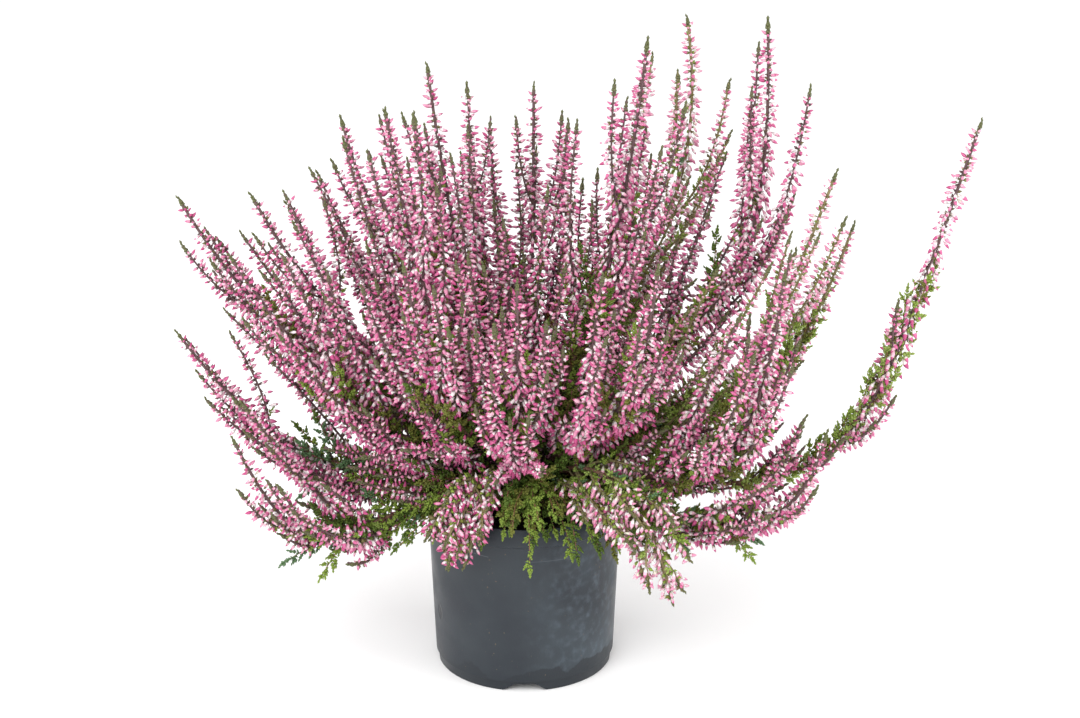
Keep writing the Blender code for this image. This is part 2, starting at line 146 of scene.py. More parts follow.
class PatchGroup:
    """Soft-edged patches of uneven size: a mask that stains, dust, bark and compost share."""

    NAME = "patches"

    @classmethod
    def tree(cls) -> bpy.types.NodeTree:
        """The node group, made the first time that it is asked for.

        Returns:
            The group.
        """
        found = bpy.data.node_groups.get(cls.NAME)
        if found is not None:
            return found
        tree = bpy.data.node_groups.new(cls.NAME, "ShaderNodeTree")
        sockets = tree.interface
        sockets.new_socket("Place", in_out="INPUT", socket_type="NodeSocketVector")
        for name in ("Scale", "Detail", "From", "To"):
            sockets.new_socket(name, in_out="INPUT", socket_type="NodeSocketFloat")
        sockets.new_socket("Mask", in_out="OUTPUT", socket_type="NodeSocketFloat")
        start = tree.nodes.new("NodeGroupInput")
        end = tree.nodes.new("NodeGroupOutput")
        cloud = tree.nodes.new("ShaderNodeTexNoise")
        spread = tree.nodes.new("ShaderNodeMapRange")
        spread.interpolation_type = "SMOOTHSTEP"
        links = tree.links
        links.new(start.outputs["Place"], cloud.inputs["Vector"])
        links.new(start.outputs["Scale"], cloud.inputs["Scale"])
        links.new(start.outputs["Detail"], cloud.inputs["Detail"])
        links.new(cloud.outputs["Fac"], spread.inputs["Value"])
        links.new(start.outputs["From"], spread.inputs["From Min"])
        links.new(start.outputs["To"], spread.inputs["From Max"])
        links.new(spread.outputs["Result"], end.inputs["Mask"])
        return tree


@dataclass
class Surface:
    """A material with a pattern, built up node by node on the piece's own coordinates."""

    name: str
    material: bpy.types.Material = field(init=False)
    shader: bpy.types.Node = field(init=False)
    place: Socket = field(init=False)

    def __post_init__(self) -> None:
        """Makes the material and its coordinates."""
        self.material, self.shader = new_material(self.name)
        self.place = self.node("ShaderNodeTexCoord").outputs["Object"]

    def node(self, kind: str, **values: object) -> bpy.types.Node:
        """A new node.

        Args:
            kind: Its type.
            **values: The values to set on it.

        Returns:
            The node.
        """
        made = self.material.node_tree.nodes.new(kind)
        for name, value in values.items():
            setattr(made, name, value)
        return made

    def link(self, source: Socket, target: Socket) -> None:
        """Joins two sockets."""
        self.material.node_tree.links.new(source, target)

    def stretched(self, scale: Colour) -> Socket:
        """The piece's coordinates, stretched.

        Args:
            scale: The scale along each axis.

        Returns:
            The stretched coordinates.
        """
        mapping = self.node("ShaderNodeMapping")
        mapping.inputs["Scale"].default_value = scale
        self.link(self.place, mapping.inputs["Vector"])
        return mapping.outputs["Vector"]

    def patches(
        self,
        scale: float,
        start: float,
        end: float,
        detail: float = 4.0,
        place: Socket | None = None,
    ) -> Socket:
        """A mask of patches.

        Args:
            scale: How many patches lie in a metre.
            start: The noise level where a patch's edge begins.
            end: The noise level where a patch is full.
            detail: How ragged the edges are.
            place: The coordinates, or none for the piece's own.

        Returns:
            The mask.
        """
        group = self.node("ShaderNodeGroup", node_tree=PatchGroup.tree())
        self.link(place or self.place, group.inputs["Place"])
        for name, value in (("Scale", scale), ("Detail", detail), ("From", start), ("To", end)):
            group.inputs[name].default_value = value
        return group.outputs["Mask"]

    def feed(self, value: object, target: Socket) -> None:
        """Links a socket to another, or sets that to a plain number or colour.

        Args:
            value: The socket, number or colour.
            target: The socket that takes it.
        """
        if isinstance(value, Socket):
            self.link(value, target)
        elif isinstance(value, tuple):
            target.default_value = (*value, 1.0)
        else:
            target.default_value = value

    def maths(self, operation: str, first: object, second: object = 0.0) -> Socket:
        """A maths node's result.

        Args:
            operation: What it does.
            first: Its first value, a socket or a number.
            second: Its second value.

        Returns:
            The result.
        """
        made = self.node("ShaderNodeMath", operation=operation)
        for value, target in zip((first, second), made.inputs):
            self.feed(value, target)
        return made.outputs["Value"]

    def mixed(self, mask: object, first: object, second: object) -> Socket:
        """Two colours mixed by a mask.

        Args:
            mask: The mask, a socket or a number.
            first: The colour where the mask is 0, a socket or plain.
            second: The colour where it is 1.

        Returns:
            The mixed colour.
        """
        made = self.node("ShaderNodeMix", data_type="RGBA")
        for value, socket in ((mask, 0), (first, 6), (second, 7)):
            self.feed(value, made.inputs[socket])
        return made.outputs[2]

    def ranged(self, value: Socket, spans: Sequence[float]) -> Socket:
        """A value carried smoothly from one span to another.

        Args:
            value: The value.
            spans: Its low and high, and what they become.

        Returns:
            The value in the new span.
        """
        made = self.node("ShaderNodeMapRange", interpolation_type="SMOOTHSTEP")
        self.link(value, made.inputs["Value"])
        for name, number in zip(("From Min", "From Max", "To Min", "To Max"), spans):
            made.inputs[name].default_value = number
        return made.outputs["Result"]

    def bump(self, height: Socket, distance: float, strength: float = 1.0) -> None:
        """Gives the shader a relief.

        Args:
            height: The relief's height, from 0 to 1.
            distance: What a height of 1 stands for, in metres.
            strength: How much of it shows.
        """
        made = self.node("ShaderNodeBump")
        made.inputs["Distance"].default_value = distance
        made.inputs["Strength"].default_value = strength
        self.link(height, made.inputs["Height"])
        self.link(made.outputs["Normal"], self.shader.inputs["Normal"])

    def colour(self, source: Socket) -> None:
        """Feeds the shader's colour."""
        self.link(source, self.shader.inputs["Base Color"])

    def roughness(self, source: Socket) -> None:
        """Feeds the shader's roughness."""
        self.link(source, self.shader.inputs["Roughness"])


# Layers of chalk on the pot: their scale, where an edge begins and is full, their share and colour
CHALK_LAYERS = (
    (30.0, 0.36, 0.80, 0.36, (0.085, 0.118, 0.146)),
    (210.0, 0.42, 0.88, 0.36, (0.150, 0.200, 0.250)),
)
# Scratches on the pot: their slope, their height at the middle, their two ends and their share
SCRATCHES = (
    (0.085, 0.0818, -0.040, -0.020, 0.35),
    (0.0, 0.0820, 0.0, 0.030, 0.18),
)
SCRATCH_EDGES = (0.00024, 0.00008)
# The dent in the pot: its middle and its half size, in depth and in height
DENT = ((-0.0208, 0.0030), (0.0357, 0.0054))


def scratched(made: Surface, across: Socket, height: Socket, base: Socket) -> Socket:
    """The pot's colour with scratches on it.

    Args:
        made: The pot's surface.
        across: The X of its coordinates.
        height: The Z of its coordinates.
        base: The colour under the scratches.

    Returns:
        The colour with them.
    """
    for slope, level, left, right, share in SCRATCHES:
        leant = made.maths("ADD", height, made.maths("MULTIPLY", across, slope))
        from_line = made.maths("ABSOLUTE", made.maths("ADD", leant, -level))
        line = made.ranged(from_line, (*SCRATCH_EDGES, 0.0, share))
        inside = made.maths("COMPARE", across, (left + right) / 2)
        inside.node.inputs[2].default_value = (right - left) / 2
        base = made.mixed(made.maths("MULTIPLY", line, inside), base, (0.20, 0.23, 0.26))
    return base


def dented(made: Surface, across: Socket, depth: Socket, height: Socket) -> Socket:
    """A mask of the small oval dent on the pot's left side, for its relief and its painted shade.

    Args:
        made: The pot's surface.
        across: The X of its coordinates.
        depth: The Y of its coordinates.
        height: The Z of its coordinates.

    Returns:
        The mask.
    """
    away = [
        made.maths("POWER", made.maths("DIVIDE", made.maths("ADD", axis, -middle), size), 2.0)
        for axis, (middle, size) in zip((depth, height), DENT)
    ]
    oval = made.ranged(made.maths("ADD", *away), (1.0, 0.3, 0.0, 1.0))
    return made.maths("MULTIPLY", oval, made.maths("LESS_THAN", across, 0.0))


def pot_plastic() -> bpy.types.Material:
    """Dark slate plastic with chalky stains over a darker foot, scratches, a dent with painted shade in
    it, and specks.

    Returns:
        The material.
    """
    made = Surface("slate_plastic")
    axes = made.node("ShaderNodeSeparateXYZ")
    made.link(made.place, axes.inputs["Vector"])
    across, depth, height = axes.outputs["X"], axes.outputs["Y"], axes.outputs["Z"]
    tone = made.patches(scale=26.0, start=0.30, end=0.72)
    base = made.mixed(tone, (0.019, 0.024, 0.031), (0.029, 0.036, 0.043))
    # The colour is darker towards the foot, with a ragged upper edge, and the chalk stains stay above
    # it.
    rise = made.maths("MULTIPLY", made.patches(scale=38.0, start=0.2, end=0.8, detail=6.0), -0.014)
    above_foot = made.ranged(made.maths("ADD", height, rise), (0.0035, 0.0050, 0.0, 1.0))
    foot_darkening = made.maths("MULTIPLY", made.maths("SUBTRACT", 1.0, above_foot), 0.45)
    base = made.mixed(foot_darkening, base, (0.012, 0.015, 0.019))
    right = made.ranged(across, (-0.008, 0.046, 0.0, 1.0))
    for scale, start, end, share, colour in CHALK_LAYERS:
        stained = made.maths("MULTIPLY", right, above_foot)
        chalk = made.maths("MULTIPLY", made.patches(scale, start, end, detail=8.0), stained)
        base = made.mixed(made.maths("MULTIPLY", chalk, share), base, colour)
    base = scratched(made, across, height, base)
    dent = dented(made, across, depth, height)
    # Painted shade: the colour is darkened inside the dent, besides the bump that hollows it.
    base = made.mixed(made.maths("MULTIPLY", dent, 0.7), base, (0.008, 0.009, 0.011))
    specks = made.patches(scale=460.0, start=0.71, end=0.76, detail=2.0)
    made.colour(made.mixed(specks, base, (0.085, 0.066, 0.046)))
    made.roughness(made.ranged(made.patches(scale=60.0, start=0.2, end=0.8), (0.0, 1.0, 0.34, 0.50)))
    grain = made.patches(scale=900.0, start=0.2, end=0.8, detail=2.0)
    hollow = made.maths("MULTIPLY", dent, 12.0)
    made.bump(made.maths("SUBTRACT", grain, hollow), distance=0.00004, strength=0.5)
    made.shader.inputs["Specular IOR Level"].default_value = 0.3
    return made.material


def compost_earth() -> bpy.types.Material:
    """Dark moist peat with paler fibres.

    Returns:
        The material.
    """
    made = Surface("moist_compost")
    tone = made.patches(scale=160.0, start=0.3, end=0.7, detail=6.0)
    base = made.mixed(tone, (0.014, 0.009, 0.006), (0.052, 0.032, 0.020))
    drawn_out = made.stretched((900.0, 160.0, 300.0))
    fibres = made.patches(scale=1.0, start=0.62, end=0.70, detail=3.0, place=drawn_out)
    made.colour(made.mixed(fibres, base, (0.130, 0.085, 0.050)))
    made.bump(tone, distance=0.0012)
    made.shader.inputs["Roughness"].default_value = 0.95
    return made.material


@dataclass(frozen=True)
class BarkFinish:
    """Thin red-brown bark that flakes to grey along the limb."""

    name: str = "heather_bark"
    dark: Colour = (0.105, 0.040, 0.024)
    flaked: Colour = (0.230, 0.125, 0.085)
    grey: Colour = (0.210, 0.175, 0.150)

    def material(self) -> bpy.types.Material:
        """The bark, made the first time that it is asked for.

        Returns:
            The material.
        """
        found = bpy.data.materials.get(self.name)
        if found is not None:
            return found
        made = Surface(self.name)
        upright = made.stretched((420.0, 420.0, 150.0))
        flakes = made.patches(scale=1.0, start=0.42, end=0.62, detail=6.0, place=upright)
        base = made.mixed(flakes, self.dark, self.flaked)
        worn = made.maths("MULTIPLY", made.patches(scale=90.0, start=0.55, end=0.75), 0.5)
        made.colour(made.mixed(worn, base, self.grey))
        made.bump(flakes, distance=0.00025)
        made.shader.inputs["Roughness"].default_value = 0.8
        return made.material


class Wood(Enum):
    """The bark of the limbs and the knob."""

    BARK = BarkFinish()


# Shapes made once and copied


def deselect_all() -> None:
    """Leaves nothing selected, so that an operator acts only on what it is given."""
    for obj in bpy.context.selected_objects:
        obj.select_set(False)
    bpy.context.view_layer.objects.active = None


def select_points(obj: bpy.types.Object, test: Callable[[Vector], bool]) -> None:
    """Selects the points of the object in edit mode that pass a test, and no others.

    Args:
        obj: The object.
        test: Takes a point's place and says whether it passes.
    """
    bpy.ops.mesh.select_all(action="DESELECT")
    edited = bmesh.from_edit_mesh(obj.data)
    for vert in edited.verts:
        vert.select_set(test(vert.co))
    edited.select_flush(True)
    bmesh.update_edit_mesh(obj.data)


@dataclass(frozen=True)
class Band:
    """One ring of a small turned shape: its height, its two half widths and the zone below it."""

    height: float
    width: float
    depth: float
    zone: int = 0


@dataclass
class Template:
    """A small shape that is copied many times: its points, its faces and each face's zone."""

    points: np.ndarray
    faces: list[tuple[int, ...]]
    zones: np.ndarray

    @classmethod
    def turned(cls, name: str, sides: int, bands: Sequence[Band]) -> "Template":
        """A closed shape round +Z, extruded from ring to ring and drawn to a point at both ends.

        Args:
            name: The shape's name while it is made.
            sides: How many sides it has.
            bands: Its rings from root to tip. The first and last are drawn to points.

        Returns:
            The shape, with the zone of each face.
        """
        deselect_all()
        first = bands[0]
        bpy.ops.mesh.primitive_circle_add(vertices=sides, radius=1.0, location=(0.0, 0.0, first.height))
        obj = bpy.context.active_object
        obj.name = name
        bpy.ops.object.mode_set(mode="EDIT")
        bpy.ops.mesh.select_all(action="SELECT")
        bpy.ops.transform.resize(value=(bands[1].width, bands[1].depth, 1.0))
        for below, band in pairwise(bands):
            rise = {"value": (0.0, 0.0, band.height - below.height)}
            bpy.ops.mesh.extrude_region_move(TRANSFORM_OT_translate=rise)
            if below is not first and band is not bands[-1]:
                bpy.ops.transform.resize(value=(band.width / below.width, band.depth / below.depth, 1.0))
        bpy.ops.mesh.merge(type="CENTER")
        select_points(obj, lambda point: point.z < NEAR)
        bpy.ops.mesh.merge(type="CENTER")
        bpy.ops.mesh.select_all(action="SELECT")
        bpy.ops.mesh.normals_make_consistent(inside=False)
        bpy.ops.object.mode_set(mode="OBJECT")
        return cls.taken_from(obj, bands)

    @classmethod
    def taken_from(cls, obj: bpy.types.Object, bands: Sequence[Band]) -> "Template":
        """Reads an object's mesh as a template, and removes the object.

        Args:
            obj: The object.
            bands: The rings that it was made from.

        Returns:
            The shape, with the zone of each face.
        """
        mesh = obj.data
        points = np.array([obj.matrix_world @ vert.co for vert in mesh.vertices])
        faces = [tuple(face.vertices) for face in mesh.polygons]
        middles = [points[list(face)][:, 2].mean() for face in faces]
        zones = [next(b.zone for b in bands[1:] if middle < b.height) for middle in middles]
        bpy.data.objects.remove(obj)
        bpy.data.meshes.remove(mesh)
        return cls(points, faces, np.array(zones))

    def joined(self, places: Iterable[Matrix], zones: Iterable[int]) -> "Template":
        """Copies of the shape joined into one.

        Args:
            places: Each copy's place.
            zones: Each copy's zone, the same for all its faces.

        Returns:
            The joined shape.
        """
        points, faces, all_zones = [], [], []
        for place, zone in zip(places, zones):
            start = sum(len(part) for part in points)
            matrix = np.array(place)
            points.append(self.points @ matrix[:3, :3].T + matrix[:3, 3])
            faces += [tuple(index + start for index in face) for face in self.faces]
            all_zones += [zone] * len(self.faces)
        return Template(np.vstack(points), faces, np.array(all_zones))


def facing(root: Vector, direction: Vector, roll: float, size: float = 1.0) -> Matrix:
    """The place of a shape whose root is at a point and whose +Z runs along a direction.

    Args:
        root: Where the shape's origin goes.
        direction: Where its +Z points.
        roll: Its turn round that direction, in radians.
        size: Its scale.

    Returns:
        The matrix.
    """
    turn = direction.to_track_quat("Z", "Y") @ Quaternion(UP, roll)
    return Matrix.LocRotScale(root, turn, Vector((size, size, size)))


class Batch:
    """Many copies of small shapes joined from arrays into one mesh."""

    def __init__(self, name: str, finishes: Sequence[Enum]) -> None:
        """Starts an empty batch.

        Args:
            name: The piece's name.
            finishes: The finishes of its faces, which become its material slots.
        """
        self.name = name
        self.finishes = list(finishes)
        self.slots = {finish: index for index, finish in enumerate(self.finishes)}
        self.points: list[np.ndarray] = []
        self.corners: list[np.ndarray] = []
        self.sizes: list[np.ndarray] = []
        self.materials: list[np.ndarray] = []
        self.count = 0

    def add(self, shape: Template, place: Matrix, finishes: Sequence[Enum]) -> None:
        """Adds a copy.

        Args:
            shape: The shape to copy.
            place: The copy's place.
            finishes: The finish of each of the shape's zones.
        """
        matrix = np.array(place)
        points = shape.points @ matrix[:3, :3].T + matrix[:3, 3]
        slots = np.array([self.slots[finish] for finish in finishes])
        self.add_faces(points, shape.faces, slots[shape.zones])

    def add_faces(
        self, points: np.ndarray, faces: Sequence[tuple[int, ...]], materials: np.ndarray
    ) -> None:
        """Adds faces of their own.

        Args:
            points: Their points.
            faces: Each face's corners, counted within the points.
            materials: Each face's material slot.
        """
        self.points.append(points)
        self.corners.append(np.array([index for face in faces for index in face]) + self.count)
        self.sizes.append(np.array([len(face) for face in faces]))
        self.materials.append(materials)
        self.count += len(points)

    def build(self) -> bpy.types.Object:
        """Makes the batch one object, riding on the plant.

        Returns:
            The object.
        """
        mesh = bpy.data.meshes.new(self.name)
        points = np.vstack(self.points).astype(np.float32)
        corners = np.concatenate(self.corners).astype(np.int32)
        sizes = np.concatenate(self.sizes).astype(np.int32)
        starts = np.concatenate(([0], np.cumsum(sizes)[:-1])).astype(np.int32)
        mesh.vertices.add(len(points))
        mesh.vertices.foreach_set("co", points.ravel())
        mesh.loops.add(len(corners))
        mesh.loops.foreach_set("vertex_index", corners)
        mesh.polygons.add(len(sizes))
        mesh.polygons.foreach_set("loop_start", starts)
        mesh.polygons.foreach_set("loop_total", sizes)
        for finish in self.finishes:
            mesh.materials.append(finish.value.material())
        mesh.polygons.foreach_set("material_index", np.concatenate(self.materials).astype(np.int32))
        mesh.polygons.foreach_set("use_smooth", np.ones(len(sizes), dtype=bool))
        mesh.update(calc_edges=True)
        obj = bpy.data.objects.new(self.name, mesh)
        bpy.context.scene.collection.objects.link(obj)
        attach(obj, "root")
        LOG.info("%s: %d triangles", self.name, int((sizes - 2).sum()))
        return obj


# The plan of the crown, by the rule that the solids follow


class Level(Enum):
    """The rings of shoots on the knob, from the lowest: how high up its side each is, in degrees."""

    LOW = 14
    MID = 33
    HIGH = 52
    TOP = 74


@dataclass(frozen=True)
class Sweep:
    """How much of a shoot's reach pulls it along its first heading, and along its tip's."""

    foot: float
    tip: float


STRAIGHT = Sweep(0.30, 0.44)
CURVED = Sweep(0.36, 0.58)
RISING = Sweep(0.50, 0.66)
SAGGING = Sweep(0.58, 0.68)


class Tone(Enum):
    """A spray's colours: vivid, soft or pale bloom, or green with no bloom."""

    VIVID = "vivid"
    SOFT = "soft"
    PALE = "pale"
    GREEN = "green"


@dataclass(frozen=True)
class BloomRule:
    """How flower buds stand along a spike.

    Lengths are in metres and turns in degrees. Buds are close and small by the tip, crowd past the
    sparse length, and ripen and droop from the young length on.
    """

    bare_tip: float = 0.009
    young: float = 0.010
    step: float = 0.0037
    sparse: float = 0.024
    full_droop: float = 0.085
    lift_at_tip: float = 0.42
    droop: float = 2.05
    bundle: float = 0.0046
    bract: float = 0.0030
    size: float = 1.0
    young_size: float = 0.84
    full_growth: float = 0.04
    ripe_growth: float = 0.24
    uneven: tuple[float, float] = (0.84, 1.12)
    turn: float = 31.0
    wander: float = 34.0
    scatter: float = 0.30
    slip: float = 0.0011
    sunk: float = 0.0002
    first_grown: float = 0.16
    more_grown: float = 1.6

    def fullness(self, from_tip: float) -> float:
        """From 0 by the tip to 1 where the spike is in full bloom."""
        return min(from_tip / self.sparse, 1.0)

    def ripeness(self, from_tip: float) -> float:
        """From 0 where the buds are young to 1 where they are ripe and hang."""
        return min(max((from_tip - self.young) / self.full_droop, 0.0), 1.0)

    def bud_size(self, fullness: float, ripe: float) -> float:
        """The scale of a bud, which grows as its part of the spike fills and ripens."""
        grown = self.young_size + self.full_growth * fullness + self.ripe_growth * ripe
        return self.size * grown

    @staticmethod
    def buds_in_whorl(fullness: float) -> int:
        """How many buds stand round the stem at one height."""
        return 2 if fullness < 0.15 else 3 if fullness < 0.55 else 4


TALL_BLOOM = BloomRule()
HANGING_BLOOM = BloomRule(
    bare_tip=0.004, young=0.0, step=0.0043, sparse=0.004, full_droop=0.012, bundle=0.0046, size=0.9
)


@dataclass(frozen=True)
class Shoot:
    """A shoot: its ring, the place of its tip, how it climbs and sweeps there, and its side spikes.

    The tip's place is a bearing in degrees and a distance and height in millimetres. The last
    value is how much of their full length the side spikes have.
    """

    name: str
    level: Level
    bearing: float
    spread: float
    height: float
    foot_climb: float
    tip_climb: float
    sweep: Sweep
    spikes: int
    tone: Tone = Tone.VIVID
    grown: float = 1.0

    @property
    def hangs(self) -> bool:
        """Whether its tip points down."""
        return self.tip_climb < 0

    @property
    def bloom(self) -> BloomRule:
        """How its flower buds stand."""
        return HANGING_BLOOM if self.hangs else TALL_BLOOM

    @property
    def greens(self) -> Tone:
        """The tone of its stems and bracts: those of a hanging shoot are as green as a pale one's."""
        return Tone.PALE if self.hangs else self.tone


SHOOTS = (
    Shoot("left_low", Level.LOW, 188, 192, 209, 4, 58, CURVED, 3),
    Shoot("left_sag", Level.LOW, 207, 175, 168, -2, 68, SAGGING, 4, Tone.SOFT),
    Shoot("front_left", Level.LOW, 243, 92, 92, 42, -60, RISING, 3),
    Shoot("front_right_low", Level.LOW, 309, 126, 78, 40, -74, RISING, 4, Tone.PALE),
    Shoot("right_skirt", Level.LOW, 332, 182, 172, 0, 78, CURVED, 4, Tone.SOFT),
    Shoot("right_far", Level.LOW, 352, 245, 330, -6, 74, SAGGING, 4, Tone.SOFT, 0.42),
    Shoot("back_right_low", Level.LOW, 58, 172, 165, 6, 72, CURVED, 3, Tone.SOFT),
    Shoot("back_left_low", Level.LOW, 122, 172, 165, 6, 72, CURVED, 3, Tone.SOFT),
    Shoot("left_far", Level.MID, 172, 194, 268, 26, 62, STRAIGHT, 3),
    Shoot("left_front", Level.MID, 201, 167, 264, 24, 60, CURVED, 3),
    Shoot("front_left_up", Level.MID, 235, 109, 268, 44, 76, CURVED, 3),
    Shoot("front_middle", Level.MID, 268, 100, 262, 46, 84, CURVED, 3),
    Shoot("front_right_up", Level.MID, 303, 126, 272, 44, 82, CURVED, 3),
    Shoot("right_middle", Level.MID, 328, 160, 262, 10, 84, RISING, 4, Tone.SOFT),
    Shoot("right_back", Level.MID, 20, 203, 240, 14, 70, RISING, 3, Tone.PALE, 0.6),
    Shoot("back_right", Level.MID, 66, 150, 262, 29, 76, CURVED, 3),
    Shoot("back_left", Level.MID, 112, 150, 262, 29, 76, CURVED, 3),
    Shoot("left_back", Level.HIGH, 152, 116, 306, 46, 74, STRAIGHT, 3),
    Shoot("left_high", Level.HIGH, 177, 150, 276, 44, 64, STRAIGHT, 3),
    Shoot("upper_left", Level.HIGH, 204, 80, 336, 50, 82, STRAIGHT, 3),
    Shoot("right_high", Level.HIGH, 357, 170, 294, 22, 72, RISING, 3, Tone.PALE),
    Shoot("top_far_right", Level.HIGH, 12, 136, 368, 44, 93, RISING, 4),
    Shoot("top_back", Level.HIGH, 42, 124, 358, 52, 102, CURVED, 3, Tone.PALE),
    Shoot("top_left", Level.TOP, 146, 64, 342, 73, 82, STRAIGHT, 3),
    Shoot("centre_back", Level.TOP, 86, 84, 319, 73, 88, STRAIGHT, 3),
    Shoot("top_right", Level.TOP, 5, 67, 362, 70, 84, CURVED, 4),
)

SKIRTS = (
    Shoot("skirt_front", Level.LOW, 272, 82, 94, 34, -56, RISING, 3, Tone.GREEN),
    Shoot("skirt_left", Level.LOW, 222, 92, 96, 8, -30, CURVED, 3, Tone.GREEN),
    Shoot("skirt_right", Level.LOW, 322, 96, 92, 8, -34, CURVED, 3, Tone.GREEN),
    Shoot("skirt_back_left", Level.LOW, 150, 98, 104, 8, -16, CURVED, 3, Tone.GREEN),
    Shoot("skirt_back_right", Level.LOW, 32, 98, 104, 8, -16, CURVED, 3, Tone.GREEN),
)


# How far ahead a curve's direction is read, and how many points measure or test a curve
AHEAD = 0.02
HOME_POINTS = 20
REST_POINTS = 8
TEST_POINTS = 14


def polar(bearing: float, distance: float, height: float) -> Vector:
    """The point at a bearing in radians, a distance from the middle and a height."""
    return Vector((math.cos(bearing) * distance, math.sin(bearing) * distance, height))


def heading(bearing: float, climb: float) -> Vector:
    """The unit vector of a bearing and a climb in degrees."""
    level = math.cos(math.radians(climb))
    return polar(math.radians(bearing), level, math.sin(math.radians(climb)))


def bezier(corners: Corners, share: float) -> Vector:
    """The point a share of the way along a Bezier curve.

    Args:
        corners: The curve's corners, of any number.
        share: How far along it the point is.

    Returns:
        The point.
    """
    points = list(corners)
    while len(points) > 1:
        points = [a.lerp(b, share) for a, b in pairwise(points)]
    return points[0]


def along(corners: Corners, start: float, end: float, count: int) -> list[Vector]:
    """Points at even shares of a curve, from one share to another."""
    return [bezier(corners, start + (end - start) * i / (count - 1)) for i in range(count)]


def length_of(points: Sequence[Vector]) -> float:
    """The length of the line through the points."""
    return sum((b - a).length for a, b in pairwise(points))


def tail_of(corners: Corners, share: float) -> Corners:
    """The part of a Bezier curve after a share of it.

    Args:
        corners: The curve's corners.
        share: Where the part begins.

    Returns:
        The part's corners.
    """
    points = list(corners)
    tail = [points[-1]]
    while len(points) > 1:
        points = [a.lerp(b, share) for a, b in pairwise(points)]
        tail.append(points[-1])
    return tuple(reversed(tail))


def direction_at(corners: Corners, share: float) -> Vector:
    """The direction of a curve a share of the way along it."""
    return (bezier(corners, share + AHEAD) - bezier(corners, share)).normalized()


def lean_from(direction: Vector, angle: float, around: float) -> Vector:
    """A direction leant from another.

    Args:
        direction: The direction to lean from.
        angle: How far to lean, in degrees.
        around: How far to turn the lean round that direction, in degrees.

    Returns:
        The unit vector.
    """
    side = direction.orthogonal().normalized()
    side.rotate(Matrix.Rotation(math.radians(around), 3, direction))
    lean = math.radians(angle)
    return (direction * math.cos(lean) + side * math.sin(lean)).normalized()


@dataclass
class Crown:
    """Where every shoot runs, and which space is its own."""

    knob_height: float = KNOB_HEIGHT
    knob_radius: float = KNOB_RADIUS
    ring_room: float = 0.74
    ring_moves: int = 80
    bough_radius: float = 0.0019
    bough_share: float = 0.25
    rim_height: float = POT_HEIGHT
    rim_radius: float = RIM_RADIUS
    space_margin: float = 0.0007
    limb_margin: float = 0.0030
    pot_margin: float = 0.0030
    samples: int = 60
    homes: dict[str, Corners] = field(init=False)
    lines: np.ndarray = field(init=False)

    def __post_init__(self) -> None:
        """Draws every shoot's home curve."""
        bearings = self.start_bearings()
        self.homes = {s.name: self.home_curve(s, bearings[s.name]) for s in SHOOTS + SKIRTS}
        lines = [along(home, 0.0, 1.0, self.samples) for home in self.homes.values()]
        self.lines = np.array([[tuple(point) for point in line] for line in lines])

    def start_bearings(self) -> dict[str, float]:
        """Where each shoot leaves the knob: towards its tip, moved apart from its ring's others.

        Returns:
            Each shoot's bearing there, in degrees.
        """
        bearings = {}
        for level in Level:
            members = [shoot for shoot in SHOOTS + SKIRTS if shoot.level is level]
            members.sort(key=lambda shoot: shoot.bearing)
            places = [float(shoot.bearing) for shoot in members]
            nearest = self.ring_room * 360 / len(members)
            for _ in range(self.ring_moves):
                for index in range(len(places)):
                    after = (index + 1) % len(places)
                    short = nearest - (places[after] - places[index]) % 360
                    if short > 0:
                        places[index] -= short / 2
                        places[after] += short / 2
            for shoot, place in zip(members, places):
                bearings[shoot.name] = place
        return bearings

    def home_curve(self, shoot: Shoot, start_bearing: float) -> Corners:
        """The curve that a shoot follows from the knob to its tip.

        Args:
            shoot: The shoot.
            start_bearing: Where it leaves the knob, in degrees.

        Returns:
            The curve's corners.
        """
        out = heading(start_bearing, shoot.level.value)
        start = heading(start_bearing, shoot.foot_climb)
        clear = GAP + self.bough_radius * math.sin(out.angle(start))
        foot = UP * self.knob_height + out * (self.knob_radius + clear)
        tip = polar(math.radians(shoot.bearing), shoot.spread / 1000, shoot.height / 1000)
        reach = (tip - foot).length
        end = heading(shoot.bearing, shoot.tip_climb)
        return foot, foot + start * reach * shoot.sweep.foot, tip - end * reach * shoot.sweep.tip, tip

    def leader(self, shoot: Shoot) -> Corners:
        """The curve of a shoot's spray: after its bough, or from the knob for a green spray.

        Args:
            shoot: The shoot.

        Returns:
            The curve's corners.
        """
        home = self.homes[shoot.name]
        if shoot in SKIRTS:
            return home
        length = length_of(along(home, 0.0, 1.0, HOME_POINTS))
        return tail_of(home, self.bough_share + GAP / length)

    def clear_of_pot(self, point: Vector) -> bool:
        """Whether a point is above the pot or outside it."""
        low = point.z < self.rim_height + self.pot_margin
        return not (low and math.hypot(point.x, point.y) < self.rim_radius + self.pot_margin)

    def holds(self, name: str, points: Iterable[Vector]) -> bool:
        """Whether points are in a shoot's space, clear of other limbs and of the pot.

        Args:
            name: The shoot's name.
            points: The points.

        Returns:
            Whether all of them are.
        """
        own = list(self.homes).index(name)
        for point in points:
            away = np.linalg.norm(self.lines - np.array(point), axis=2).min(axis=1)
            mine = away[own]
            away[own] = np.inf
            if away.min() < max(mine + self.space_margin, self.limb_margin):
                return False
            if not self.clear_of_pot(point):
                return False
        return True


